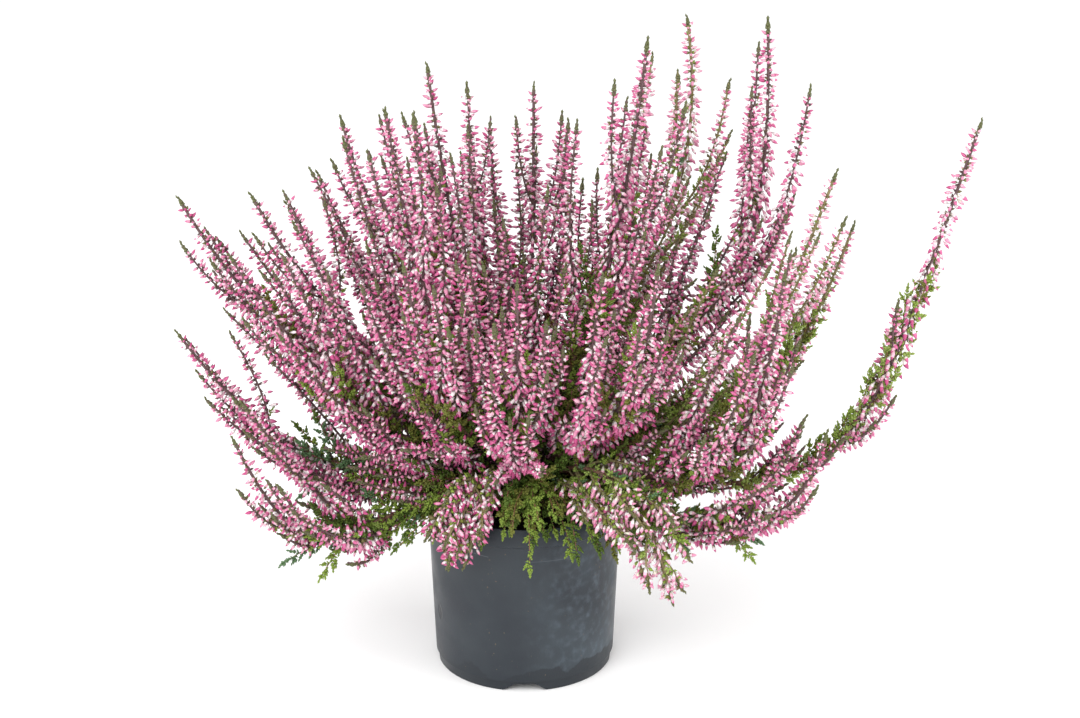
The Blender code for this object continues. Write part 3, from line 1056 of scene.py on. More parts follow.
@dataclass
class SpikeRule:
    """Where side spikes leave a leader, how long they are and how far beside it they run."""

    first: float = 0.04
    last: float = 0.50
    length: float = 0.80
    longest: float = 0.125
    fan: float = 0.28
    longest_fan: float = 0.030
    lift: float = 0.17
    bow: tuple[float, float] = (0.35, 0.85)
    tries: int = 14
    shrink: float = 0.045
    uneven: tuple[float, float] = (0.86, 1.10)
    turn_again: float = 0.73
    wander: float = 20.0
    free_foot: float = 0.15

    def spike(
        self,
        leader: Corners,
        share: float,
        shoot: Shoot,
        crown: Crown,
        chance: random.Random,
        index: int,
    ) -> Corners | None:
        """A side spike's curve that stays in its shoot's space.

        Args:
            leader: The curve that it leaves.
            share: Where on the leader it leaves.
            shoot: The shoot that it is part of.
            crown: The spaces of all the shoots.
            chance: The shoot's own seeded chance.
            index: The spike's number on its leader.

        Returns:
            The curve's corners, or None where no try fits.
        """
        root = bezier(leader, share)
        ahead = direction_at(leader, share)
        rest = length_of(along(leader, share, 1.0, REST_POINTS))
        for attempt in range(self.tries):
            shrink = 1.0 - self.shrink * attempt
            length = min(rest * self.length, self.longest) * shoot.grown
            length *= chance.uniform(*self.uneven) * shrink
            fan = min(length * self.fan, self.longest_fan) * shrink
            around = GOLDEN_ANGLE * (index + self.turn_again * attempt)
            side = lean_from(ahead, 90, around + chance.uniform(-self.wander, self.wander))
            reach = (1.0 - share) * length / rest
            end = bezier(leader, share + reach) + side * fan + UP * length * self.lift
            middle = bezier(leader, share + reach * self.bow[0]) + side * fan * self.bow[1]
            curve = (root, middle, end)
            if crown.holds(shoot.name, along(curve, self.free_foot, 1.0, TEST_POINTS)):
                return curve
        return None

    def spikes(
        self, leader: Corners, shoot: Shoot, crown: Crown, count: int, seed: str
    ) -> list[Corners]:
        """The side spikes of a leader, at even shares of it.

        Args:
            leader: The curve that they leave.
            shoot: The shoot that they are part of.
            crown: The spaces of all the shoots.
            count: How many are tried.
            seed: The seed of their chance.

        Returns:
            The curves of those that fit.
        """
        chance = random.Random(seed)
        found = []
        for index in range(count):
            share = self.first + (self.last - self.first) * index / max(count - 1, 1)
            found.append(self.spike(leader, share, shoot, crown, chance, index))
        return [curve for curve in found if curve is not None]


SOLID_RULE = SpikeRule()
TWIN_RULE = SpikeRule(
    first=0.22, last=0.40, length=0.70, longest=0.055, fan=0.34, longest_fan=0.014, tries=6
)


@dataclass
class Habit(SpikeRule):
    """A kind of side spike beyond those of the solids, and how a shoot bears it.

    It leaves the shoot's spray, or its whole curve from the knob, and blooms after a share of it.
    """

    kind: str = "fine"
    count: int = 5
    bloom_from: float = 0.12
    from_knob: bool = True


FINE = Habit(
    first=0.06,
    last=0.62,
    length=0.66,
    longest=0.085,
    fan=0.36,
    longest_fan=0.024,
    lift=0.16,
    tries=10,
    from_knob=False,
)
LOW = Habit(
    kind="low",
    count=4,
    bloom_from=0.18,
    first=0.09,
    last=0.24,
    length=0.50,
    longest=0.105,
    fan=0.42,
    longest_fan=0.034,
    lift=0.35,
    tries=12,
)
APRON = Habit(
    kind="apron",
    bloom_from=0.18,
    first=0.07,
    last=0.32,
    length=0.55,
    longest=0.085,
    fan=0.36,
    longest_fan=0.028,
    lift=-0.26,
    tries=12,
)
TASSEL = Habit(
    kind="tassel",
    count=16,
    bloom_from=0.10,
    first=0.14,
    last=0.88,
    length=0.80,
    longest=0.042,
    fan=0.42,
    longest_fan=0.015,
    lift=0.0,
    tries=16,
)
VEIL = Habit(
    kind="veil",
    count=7,
    bloom_from=0.20,
    first=0.06,
    last=0.36,
    length=0.40,
    longest=0.050,
    fan=0.70,
    longest_fan=0.034,
    lift=0.04,
    tries=14,
)
HABITS = {
    Level.LOW: (FINE, LOW, replace(VEIL, lift=0.34)),
    Level.MID: (FINE, LOW, APRON, VEIL),
    Level.HIGH: (FINE, LOW, APRON),
    Level.TOP: (FINE, LOW, APRON),
}
HANGING_HABITS = (FINE, TASSEL)


# Limbs and twigs


BARK_SCALE = 520.0


@dataclass(frozen=True)
class TubeStyle:
    """How a kind of limb is drawn: its part of a curve, its radii, points and sides, and its relief.

    The relief is how much the radius varies along and round the limb, as a share of it.
    """

    start: float
    end: float
    foot: float
    tip: float
    points: int
    sides: int
    relief: float = 0.0


LIMB = TubeStyle(start=0.0, end=0.56, foot=0.0015, tip=0.0009, points=30, sides=9, relief=0.22)
LIMB_END = TubeStyle(start=0.56, end=0.985, foot=0.0011, tip=0.00085, points=26, sides=5)
SKIRT_LIMB = TubeStyle(start=0.0, end=0.5, foot=0.00135, tip=0.0009, points=14, sides=7, relief=0.2)
SPIKE_STEM = TubeStyle(start=0.0, end=0.985, foot=0.0008, tip=0.00072, points=12, sides=4)
FERN_STEM = TubeStyle(start=0.0, end=1.0, foot=0.00055, tip=0.0003, points=7, sides=3)


def tube(middles: Sequence[Vector], style: TubeStyle) -> tuple[np.ndarray, list[tuple[int, ...]]]:
    """A tapering limb with rings of points round it, closed at both ends.

    Args:
        middles: The points along its middle.
        style: Its radii, its sides and its relief.

    Returns:
        Its points and its faces.
    """
    ahead = [(b - a).normalized() for a, b in pairwise(middles)]
    ahead.append(ahead[-1])
    side = ahead[0].orthogonal().normalized()
    last = len(middles) - 1
    sides = style.sides
    rings = []
    for row, (point, direction) in enumerate(zip(middles, ahead)):
        radius = style.foot + (style.tip - style.foot) * row / last
        side = (side - direction * side.dot(direction)).normalized()
        other = direction.cross(side)
        for step in range(sides):
            angle = math.tau * step / sides
            out = side * math.cos(angle) + other * math.sin(angle)
            wide = radius
            if style.relief:
                wide *= 1.0 + style.relief * noise.noise((point + out * radius) * BARK_SCALE)
            rings.append(point + out * wide)
    faces = []
    for row in range(last):
        for step in range(sides):
            here = row * sides + step
            beside = row * sides + (step + 1) % sides
            faces.append((here, beside, beside + sides, here + sides))
    faces.append(tuple(reversed(range(sides))))
    faces.append(tuple(range(last * sides, (last + 1) * sides)))
    return np.array([tuple(point) for point in rings]), faces


def add_tube(batch: Batch, curve: Corners, style: TubeStyle, finish: Enum) -> list[Vector]:
    """Adds a limb along a curve to a batch.

    Args:
        batch: The batch.
        curve: The curve's corners.
        style: How the limb is drawn.
        finish: Its finish.

    Returns:
        The points along its middle.
    """
    middles = along(curve, style.start, style.end, style.points)
    points, faces = tube(middles, style)
    batch.add_faces(points, faces, np.full(len(faces), batch.slots[finish]))
    return middles


# Buds, bracts and leaves


@dataclass
class SmallShapes:
    """The shapes that are copied all over the crown."""

    young_bud: Template = field(init=False)
    ripe_bud: Template = field(init=False)
    leaf: Template = field(init=False)
    shootlet: Template = field(init=False)
    tuft: Template = field(init=False)

    def __post_init__(self) -> None:
        """Models each shape once."""
        self.young_bud = Template.turned(
            "young_bud",
            4,
            (
                Band(0.0, 0.0, 0.0),
                Band(0.00190, 0.00108, 0.00100, 0),
                Band(0.00360, 0.00084, 0.00076, 1),
                Band(0.00530, 0.0, 0.0, 2),
            ),
        )
        self.ripe_bud = Template.turned(
            "ripe_bud",
            4,
            (
                Band(0.0, 0.0, 0.0),
                Band(0.00300, 0.00116, 0.00106, 0),
                Band(0.00450, 0.00092, 0.00084, 1),
                Band(0.00610, 0.0, 0.0, 2),
            ),
        )
        self.leaf = Template.turned(
            "leaf", 3, (Band(0.0, 0.0, 0.0), Band(0.50, 0.36, 0.26), Band(1.0, 0.0, 0.0))
        )
        self.shootlet = self.leafy(pairs=4, length=0.0072, leaf_length=0.0030, splay=50.0)
        self.tuft = self.leafy(pairs=5, length=0.0090, leaf_length=0.0031, splay=36.0)

    def leafy(self, pairs: int, length: float, leaf_length: float, splay: float) -> Template:
        """A shootlet of overlapping scale leaves in crossed pairs.

        Args:
            pairs: How many pairs of leaves it has.
            length: The length of its axis.
            leaf_length: The length of its middle leaves.
            splay: How far the lowest leaves stand out, in degrees.

        Returns:
            The shootlet, along +Z.
        """
        places = []
        for index in range(pairs):
            share = index / pairs
            size = leaf_length * (0.75 + 0.5 * math.sin(math.pi * min(share + 0.25, 1.0)) ** 2)
            for side in (0, 180):
                around = 90 * (index % 2) + side
                direction = lean_from(UP, splay * (1.0 - 0.6 * share), around)
                root = Vector((0.0, 0.0, length * share * 0.86))
                places.append(facing(root, direction, 0.0, size))
        places.append(facing(Vector((0.0, 0.0, length * 0.78)), UP, 0.0, leaf_length * 0.9))
        return self.leaf.joined(places, [0] * len(places))


@dataclass
class Spike:
    """One flower spike: its curve, its shoot, where its bloom begins and how thick its foot is."""

    corners: Corners
    shoot: Shoot
    bloom_from: float
    foot_radius: float
    seed: str
    steps: int = 26
    line: list[Vector] = field(init=False)
    lengths: list[float] = field(init=False)
    length: float = field(init=False)

    def __post_init__(self) -> None:
        """Measures the curve."""
        self.line = along(self.corners, 0.0, 1.0, self.steps)
        self.lengths = [0.0]
        for a, b in pairwise(self.line):
            self.lengths.append(self.lengths[-1] + (b - a).length)
        self.length = self.lengths[-1]

    def at(self, distance: float) -> tuple[Vector, Vector]:
        """The place at a distance along the spike.

        Args:
            distance: The distance from its foot.

        Returns:
            The point there and the spike's direction.
        """
        place = float(np.interp(distance, self.lengths, np.arange(self.steps)))
        index = min(int(place), self.steps - 2)
        ahead = self.line[index + 1] - self.line[index]
        return self.line[index] + ahead * (place - index), ahead.normalized()


# The weights of the finishes of young and ripe tips, ripe bodies, middles and young calyxes
YOUNG_MIX = {
    Tone.VIVID: ((Bud.ROSE, 3), (Bud.PINK, 5), (Bud.SOFT_PINK, 4), (Bud.BLUSH, 1)),
    Tone.SOFT: ((Bud.ROSE, 2), (Bud.PINK, 5), (Bud.SOFT_PINK, 5), (Bud.BLUSH, 2)),
    Tone.PALE: ((Bud.PINK, 3), (Bud.SOFT_PINK, 5), (Bud.BLUSH, 5)),
}
RIPE_MIX = {
    Tone.VIVID: ((Bud.ROSE, 5), (Bud.PINK, 6), (Bud.SOFT_PINK, 1)),
    Tone.SOFT: ((Bud.ROSE, 4), (Bud.PINK, 6), (Bud.SOFT_PINK, 2)),
    Tone.PALE: ((Bud.PINK, 4), (Bud.SOFT_PINK, 5), (Bud.BLUSH, 3)),
}
BODY_MIX = {
    Tone.VIVID: ((Bud.WHITE, 8), (Bud.BLUSH, 3), (Bud.SOFT_PINK, 1)),
    Tone.SOFT: ((Bud.WHITE, 9), (Bud.BLUSH, 2), (Bud.CREAM, 1)),
    Tone.PALE: ((Bud.WHITE, 6), (Bud.CREAM, 4), (Bud.BLUSH, 2)),
}
MIDDLE_MIX = {
    Tone.VIVID: ((Bud.SOFT_PINK, 3), (Bud.BLUSH, 3), (Bud.WHITE, 1)),
    Tone.SOFT: ((Bud.SOFT_PINK, 2), (Bud.BLUSH, 3), (Bud.WHITE, 1)),
    Tone.PALE: ((Bud.SOFT_PINK, 2), (Bud.BLUSH, 3), (Bud.WHITE, 1)),
}
CALYX_MIX = {
    Tone.VIVID: ((Bud.CALYX_OLIVE, 3), (Bud.CALYX_BROWN, 6)),
    Tone.SOFT: ((Bud.CALYX_OLIVE, 7), (Bud.CALYX_BROWN, 2), (Bud.CALYX_GREEN, 2)),
    Tone.PALE: ((Bud.CALYX_OLIVE, 3), (Bud.CALYX_GREEN, 6)),
}
# The share of a spike that is leafy below its bloom, and the finishes of leaves, bracts and stems
GREEN_FOOT = {Tone.VIVID: 0.10, Tone.SOFT: 0.22, Tone.PALE: 0.42}
FOOT_GREENS = {
    Tone.VIVID: ((Leaf.OLIVE, 4), (Leaf.FRESH, 5), (Leaf.DEEP, 2)),
    Tone.SOFT: ((Leaf.OLIVE, 2), (Leaf.FRESH, 5), (Leaf.BRIGHT, 3)),
    Tone.PALE: ((Leaf.FRESH, 3), (Leaf.BRIGHT, 6), (Leaf.BLUE, 1)),
}
BRACTS = {
    Tone.VIVID: ((Leaf.MAUVE, 5), (Leaf.BRACT, 3)),
    Tone.SOFT: ((Leaf.MAUVE, 3), (Leaf.BRACT, 5)),
    Tone.PALE: ((Leaf.BRACT, 4), (Leaf.OLIVE, 2), (Leaf.FRESH, 3)),
}
STEMS = {Tone.VIVID: Twig.MAUVE, Tone.SOFT: Twig.MAUVE, Tone.PALE: Twig.OLIVE}

# The greens of the leafy twigs: on low limbs, pale or slender ones and others, then elsewhere
LOW_GREENS = ((Leaf.BLUE, 3), (Leaf.DEEP, 3), (Leaf.OLIVE, 1), (Leaf.FRESH, 4))
PALE_GREENS = ((Leaf.OLIVE, 2), (Leaf.FRESH, 4), (Leaf.BRIGHT, 5))
LIMB_GREENS = ((Leaf.DEEP, 4), (Leaf.OLIVE, 4), (Leaf.FRESH, 4), (Leaf.DEAD, 0.3))
RIM_GREENS = ((Leaf.FRESH, 6), (Leaf.OLIVE, 3), (Leaf.DEEP, 3), (Leaf.BRIGHT, 1))
HEART_GREENS = ((Leaf.DEEP, 6), (Leaf.OLIVE, 4), (Leaf.FRESH, 2), (Leaf.DEAD, 0.5))
SKIRT_GREENS = ((Leaf.FRESH, 6), (Leaf.OLIVE, 3), (Leaf.DEEP, 2))

HEART_TWIGS = 44
RIM_TWIGS = 76


@dataclass(frozen=True)
class RimTwig:
    """How a leafy twig lies over the rim: its reach, its highest place along that, and its drop."""

    reach: tuple[float, float]
    bow: float
    drop: tuple[float, float]


RESTING = RimTwig(reach=(0.046, 0.062), bow=0.5, drop=(-0.010, 0.006))
DRAPED = RimTwig(reach=(0.058, 0.066), bow=0.8, drop=(0.004, 0.012))

# The longest twigs over the rim: the bearings between which they are, their reach and their drop
LONG_FROM = 292
LONG_TO = 320
LONG_REACH = 0.064
LONG_DROP = (0.010, 0.024)

# Where the lowest leaves of a spike stand and how far apart, and how long its leafy tip is
FOOT_LEAVES_FROM = 0.004
FOOT_LEAF_STEP = 0.0036
TUFT_LENGTH = 0.0085

# The foot radius of the stems of the solids' side spikes, of their twins and of finer spikes
MAIN_FOOT = 0.0008
TWIN_FOOT = 0.0006
FINE_FOOT = 0.0007

# How often a bud's middle is its tip's colour, and a ripe bud's body its own, first and when riper
PLAIN_MIDDLE = 0.5
OWN_BODY = 0.60
MORE_OWN_BODY = 1.5


def pick(chance: random.Random, mix: Mix) -> Enum:
    """One of the mix's members, by weight."""
    members, weights = zip(*mix)
    return chance.choices(members, weights)[0]


def bud_finishes(tone: Tone, grown: bool, ripe: float, chance: random.Random) -> tuple[Enum, ...]:
    """The finishes of one bud.

    Args:
        tone: Its spray's tone.
        grown: Whether it is a ripe bud.
        ripe: How far its part of the spike has ripened, from 0 to 1.
        chance: The spike's seeded chance.

    Returns:
        The finishes of its base, its middle and its tip.
    """
    tip = pick(chance, (RIPE_MIX if grown else YOUNG_MIX)[tone])
    middle = tip if chance.random() < PLAIN_MIDDLE else pick(chance, MIDDLE_MIX[tone])
    base = pick(chance, (BODY_MIX if grown else CALYX_MIX)[tone])
    if grown and chance.random() > OWN_BODY + MORE_OWN_BODY * ripe:
        base = middle
    return base, middle, tip


# The crown's sectors, each with the bearing in degrees where it begins
SECTORS = {
    "right": 325,
    "back_right": 25,
    "back_left": 90,
    "left": 155,
    "front_left": 225,
    "front_right": 275,
}


@dataclass
class Growth:
    """Grows the crown on from its limbs into batches of each kind."""

    crown: Crown
    shapes: SmallShapes
    blossoms: dict[str, Batch] = field(init=False)
    leaves: dict[str, Batch] = field(init=False)
    twigs: Batch = field(init=False)
    limbs: Batch = field(init=False)

    def __post_init__(self) -> None:
        """Starts the batches."""
        self.blossoms = {side: Batch("blossom_" + side, list(Bud)) for side in SECTORS}
        self.leaves = {side: Batch("leaves_" + side, list(Leaf)) for side in SECTORS}
        self.twigs = Batch("twigs", list(Twig))
        self.limbs = Batch("woody_limbs", [Wood.BARK])

    @staticmethod
    def side_of(bearing: float) -> str:
        """Which sector's batches a growth at a bearing in degrees goes into."""
        past = {side: (bearing - start) % 360 for side, start in SECTORS.items()}
        return min(past, key=past.get)

    def grow(self) -> None:
        """Grows every shoot."""
        for shoot in SHOOTS:
            self.grow_limb(shoot)
            self.grow_spray(shoot)
        for shoot in SKIRTS:
            self.grow_skirt(shoot)
        self.grow_rim_greens()
        self.grow_heart_greens()

    def grow_limb(self, shoot: Shoot) -> None:
        """Grows a woody limb from the knob into its spray, and the twig that it ends in.

        Args:
            shoot: The shoot.
        """
        home = self.crown.homes[shoot.name]
        add_tube(self.limbs, home, LIMB, Wood.BARK)
        add_tube(self.twigs, home, LIMB_END, STEMS[shoot.greens])

    def grow_spray(self, shoot: Shoot) -> None:
        """Grows the leader's bloom, the side spikes of the solids, the finer ones and leafy twigs.

        Args:
            shoot: The shoot.
        """
        leader = self.crown.leader(shoot)
        seed = shoot.name + "_leader"
        self.grow_bloom(Spike(leader, shoot, bloom_from=0.24, foot_radius=0.0, seed=seed))
        main = SOLID_RULE.spikes(leader, shoot, self.crown, shoot.spikes, shoot.name)
        for index, curve in enumerate(main):
            seed = f"{shoot.name}_main_{index}"
            self.grow_bloom(Spike(curve, shoot, bloom_from=0.08, foot_radius=MAIN_FOOT, seed=seed))
            for twin in TWIN_RULE.spikes(curve, shoot, self.crown, 1, f"{shoot.name}_twin_{index}"):
                spike = Spike(twin, shoot, bloom_from=0.20, foot_radius=TWIN_FOOT, seed=seed + "_twin")
                self.grow_bloom(spike)
        self.grow_habits(shoot)
        self.grow_leafy_twigs(shoot)

    def grow_habits(self, shoot: Shoot) -> None:
        """Grows the finer side spikes of each of a shoot's habits.

        Args:
            shoot: The shoot.
        """
        for habit in HANGING_HABITS if shoot.hangs else HABITS[shoot.level]:
            curve = self.crown.homes[shoot.name] if habit.from_knob else self.crown.leader(shoot)
            seed = f"{shoot.name}_{habit.kind}"
            found = habit.spikes(curve, shoot, self.crown, habit.count, seed)
            for index, corners in enumerate(found):
                spike = Spike(corners, shoot, habit.bloom_from, FINE_FOOT, f"{seed}_{index}")
                self.grow_bloom(spike)
            LOG.info("%s: %d of %d", seed, len(found), habit.count)

    def grow_bloom(self, spike: Spike) -> None:
        """Grows a spike's stem, its whorls of buds, its tuft and the leaves at its foot.

        Args:
            spike: The spike.
        """
        chance = random.Random(spike.seed)
        rule = spike.shoot.bloom
        side = self.side_of(spike.shoot.bearing)
        if spike.foot_radius:
            style = replace(SPIKE_STEM, foot=spike.foot_radius)
            add_tube(self.twigs, spike.corners, style, STEMS[spike.shoot.greens])
        self.add_tuft(spike, side, chance)
        distance = spike.length - rule.bare_tip
        lowest = spike.length * max(spike.bloom_from, GREEN_FOOT[spike.shoot.tone])
        whorl = 0
        while distance > lowest:
            self.add_whorl(spike, side, distance, whorl, chance)
            crowding = 1.15 - 0.15 * rule.fullness(spike.length - distance)
            distance -= rule.step * chance.uniform(0.8, 1.2) * crowding
            whorl += 1
        self.add_foot_leaves(spike, side, lowest, chance)

    def add_whorl(
        self, spike: Spike, side: str, distance: float, whorl: int, chance: random.Random
    ) -> None:
        """Adds one whorl of buds, with a bract at every second one.

        Args:
            spike: The spike that it is on.
            side: The batches that it goes into.
            distance: Its distance along the spike.
            whorl: Its number, counted down from the tip.
            chance: The spike's seeded chance.
        """
        rule = spike.shoot.bloom
        root, ahead = spike.at(distance)
        fullness = rule.fullness(spike.length - distance)
        ripe = rule.ripeness(spike.length - distance)
        lift = rule.lift_at_tip - rule.droop * ripe
        count = rule.buds_in_whorl(fullness)
        start = 90 * (whorl % 2) + rule.turn * whorl
        for index in range(count):
            around = start + 360 * index / count + chance.uniform(-rule.wander, rule.wander)
            out = lean_from(ahead, 90, around)
            rise = lift + chance.uniform(-rule.scatter, rule.scatter)
            aim = (out + ahead * 0.15 + UP * rise).normalized()
            reach = rule.bundle * ripe * chance.random() - rule.sunk
            foot = root + out * reach + ahead * chance.uniform(-rule.slip, rule.slip)
            size = rule.bud_size(fullness, ripe) * chance.uniform(*rule.uneven)
            grown = chance.random() < rule.first_grown + rule.more_grown * ripe
            finishes = bud_finishes(spike.shoot.tone, grown, ripe, chance)
            shape = self.shapes.ripe_bud if grown else self.shapes.young_bud
            place = facing(foot, aim, chance.uniform(0, math.tau), size)
            self.blossoms[side].add(shape, place, finishes)
            if index % 2:
                continue
            length = rule.bract * chance.uniform(0.8, 1.2) + 0.5 * reach
            aim = (out + ahead * chance.uniform(0.1, 0.9)).normalized()
            bract = pick(chance, BRACTS[spike.shoot.greens])
            self.leaves[side].add(self.shapes.leaf, facing(root, aim, 0.0, length), (bract,))

    def add_tuft(self, spike: Spike, side: str, chance: random.Random) -> None:
        """Adds a spike's leafy tip.

        Args:
            spike: The spike.
            side: The batch that it goes into.
            chance: The spike's seeded chance.
        """
        root, ahead = spike.at(spike.length - TUFT_LENGTH)
        place = facing(root, ahead, chance.uniform(0, math.tau), chance.uniform(0.9, 1.15))
        self.leaves[side].add(self.shapes.tuft, place, (Leaf.TUFT,))

    def add_foot_leaves(self, spike: Spike, side: str, bloom_foot: float, chance: random.Random) -> None:
        """Adds leafy shootlets below a spike's bloom.

        Args:
            spike: The spike.
            side: The batch that they go into.
            bloom_foot: How far along the spike its bloom begins.
            chance: The spike's seeded chance.
        """
        distance = bloom_foot
        index = 0
        while distance > FOOT_LEAVES_FROM:
            root, ahead = spike.at(distance)
            out = lean_from(ahead, 48, GOLDEN_ANGLE * index + chance.uniform(-20, 20))
            aim = (out + UP * 0.2).normalized()
            place = facing(root, aim, chance.uniform(0, math.tau), chance.uniform(0.7, 1.1))
            finish = pick(chance, FOOT_GREENS[spike.shoot.tone])
            self.leaves[side].add(self.shapes.shootlet, place, (finish,))
            distance -= FOOT_LEAF_STEP
            index += 1

    def grow_leafy_twigs(self, shoot: Shoot) -> None:
        """Grows leafy twigs along a limb, most of them where it is low or slender.

        Args:
            shoot: The limb's shoot.
        """
        chance = random.Random(shoot.name + "_leafy")
        home = self.crown.homes[shoot.name]
        pale = shoot.tone is Tone.PALE
        slender = shoot.grown < 1.0
        low = shoot.level is Level.LOW and not slender
        mix = LOW_GREENS if low else PALE_GREENS if slender or pale else LIMB_GREENS
        first, last, count = 0.10, 0.46, 10
        if shoot.hangs:
            first, last, count = 0.50, 0.74, 8 if pale else 2
        elif slender:
            last, count = 0.80, 22
        elif low:
            last, count = 0.54, 18
        elif shoot.level is Level.MID:
            last, count = 0.62, 12
        lean = 16 if slender else 34
        scale = 0.75 if slender or shoot.hangs else 1.0
        for index in range(count):
            share = first + (last - first) * index / (count - 1)
            root = bezier(home, share)
            turn = GOLDEN_ANGLE * index + chance.uniform(-25, 25)
            out = lean_from(direction_at(home, share), lean, turn)
            length = chance.uniform(0.019, 0.032) * scale
            climb = 0.0 if shoot.hangs else -0.12 if low and index % 2 else 0.30
            curve = (root, root + out * length * 0.6, root + out * length + UP * length * climb)
            self.add_fern(curve, self.side_of(shoot.bearing), mix, chance, step=0.0024, size=1.1)

    def grow_rim_greens(self) -> None:
        """Green twigs from the knob all round, which hide the compost and lie over the rim.

        Every fourth one drapes down outside the pot, and those to the front's right furthest.
        """
        chance = random.Random("rim_greens")
        for index in range(RIM_TWIGS):
            bearing = GOLDEN_ANGLE * index + chance.uniform(-5, 5)
            out = heading(bearing, 0)
            foot = UP * (self.crown.knob_height + chance.uniform(-0.004, 0.006)) + out * 0.010
            kind = DRAPED if index % 4 == 0 else RESTING
            reach, bow, drop = chance.uniform(*kind.reach), kind.bow, chance.uniform(*kind.drop)
            if LONG_FROM < bearing % 360 < LONG_TO:
                reach, bow, drop = LONG_REACH, DRAPED.bow, chance.uniform(*LONG_DROP)
            crest = foot + out * reach * bow + UP * chance.uniform(0.006, 0.026)
            end = foot + out * reach - UP * drop
            side = self.side_of(bearing)
            self.add_fern((foot, crest, end), side, RIM_GREENS, chance, step=0.0026, size=1.1)

    def grow_heart_greens(self) -> None:
        """Green twigs that rise from the knob among the limbs and fill the crown's heart."""
        chance = random.Random("heart_greens")
        for index in range(HEART_TWIGS):
            bearing = GOLDEN_ANGLE * index
            out = heading(bearing, 14 + 58 * (index % 11) / 10)
            foot = UP * self.crown.knob_height + out * 0.012
            length = chance.uniform(0.055, 0.105)
            bow = foot + out * length * 0.5 + heading(bearing + chance.uniform(-60, 60), 0) * 0.010
            end = foot + out * length * 0.9 + UP * length * 0.15
            self.add_fern((foot, bow, end), self.side_of(bearing), HEART_GREENS, chance, step=0.0036)

    def add_fern(
        self,
        curve: Corners,
        side: str,
        mix: Mix,
        chance: random.Random,
        step: float,
        size: float = 1.0,
    ) -> None:
        """Adds a leafy twig with shootlets all round it.

        Args:
            curve: The twig's curve.
            side: The batch that its leaves go into.
            mix: The greens of its shootlets, by weight.
            chance: A seeded chance.
            step: How far apart its shootlets stand.
            size: Their scale.
        """
        points = add_tube(self.twigs, curve, FERN_STEM, Twig.BROWN)
        leaves, shootlet = self.leaves[side], self.shapes.shootlet
        count = max(int(length_of(points) / step), 2)
        finish = pick(chance, mix)
        for index in range(count):
            share = (index + 0.6) / count
            root = bezier(curve, share)
            ahead = (bezier(curve, min(share + 0.05, 1.0)) - bezier(curve, share - 0.05)).normalized()
            turn = GOLDEN_ANGLE * index + chance.uniform(-30, 30)
            aim = lean_from(ahead, 52 - 18 * share, turn)
            scale = size * (1.15 - 0.4 * share) * chance.uniform(0.85, 1.1)
            if not self.crown.clear_of_pot(root + aim * 0.008):
                continue
            if chance.random() < 0.15:
                finish = pick(chance, mix)
            leaves.add(shootlet, facing(root, aim, chance.uniform(0, 6), scale), (finish,))
        tip = facing(points[-1], (points[-1] - points[-2]).normalized(), 0.0, size * 0.9)
        leaves.add(shootlet, tip, (finish,))

    def grow_skirt(self, shoot: Shoot) -> None:
        """Grows a green spray that lies over the pot's rim.

        Args:
            shoot: Its shoot.
        """
        chance = random.Random(shoot.name + "_green")
        leader = self.crown.leader(shoot)
        side = self.side_of(shoot.bearing)
        add_tube(self.limbs, leader, SKIRT_LIMB, Wood.BARK)
        self.add_fern(tail_of(leader, 0.25), side, SKIRT_GREENS, chance, step=0.0030, size=1.1)
        for curve in SOLID_RULE.spikes(leader, shoot, self.crown, shoot.spikes, shoot.name):
            self.add_fern(curve, side, SKIRT_GREENS, chance, step=0.0034)
        for curve in FINE.spikes(leader, shoot, self.crown, FINE.count, shoot.name + "_fine"):
            self.add_fern(curve, side, SKIRT_GREENS, chance, step=0.0030)

    def build(self) -> None:
        """Builds every batch, and has each stand for the solids that it grew from."""
        for batches, shoots, slot in (
            (self.blossoms, SHOOTS, "blossom"),
            (self.leaves, SKIRTS, "foliage"),
        ):
            for side, batch in batches.items():
                obj = batch.build()
                names = ["spray_" + s.name for s in shoots if self.side_of(s.bearing) == side]
                if names:
                    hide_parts(*names)
        limbs = self.limbs.build()
        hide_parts(*("bough_" + shoot.name for shoot in SHOOTS))
        self.twigs.build()


# The pot, the compost and the knob


def finished(obj: bpy.types.Object, material: bpy.types.Material, angle: float = 35.0) -> None:
    """Gives a modelled piece its material and shading, and puts its place into its mesh.

    Args:
        obj: The piece.
        material: Its material.
        angle: The sharpest edge that is shaded smooth, in degrees.
    """
    deselect_all()
    obj.select_set(True)
    bpy.context.view_layer.objects.active = obj
    bpy.ops.object.transform_apply(location=True, rotation=True, scale=True)
    bpy.ops.object.shade_smooth_by_angle(angle=math.radians(angle))
    obj.data.materials.clear()
    obj.data.materials.append(material)
    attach(obj, "root")
    LOG.info("%s: %d faces", obj.name, len(obj.data.polygons))


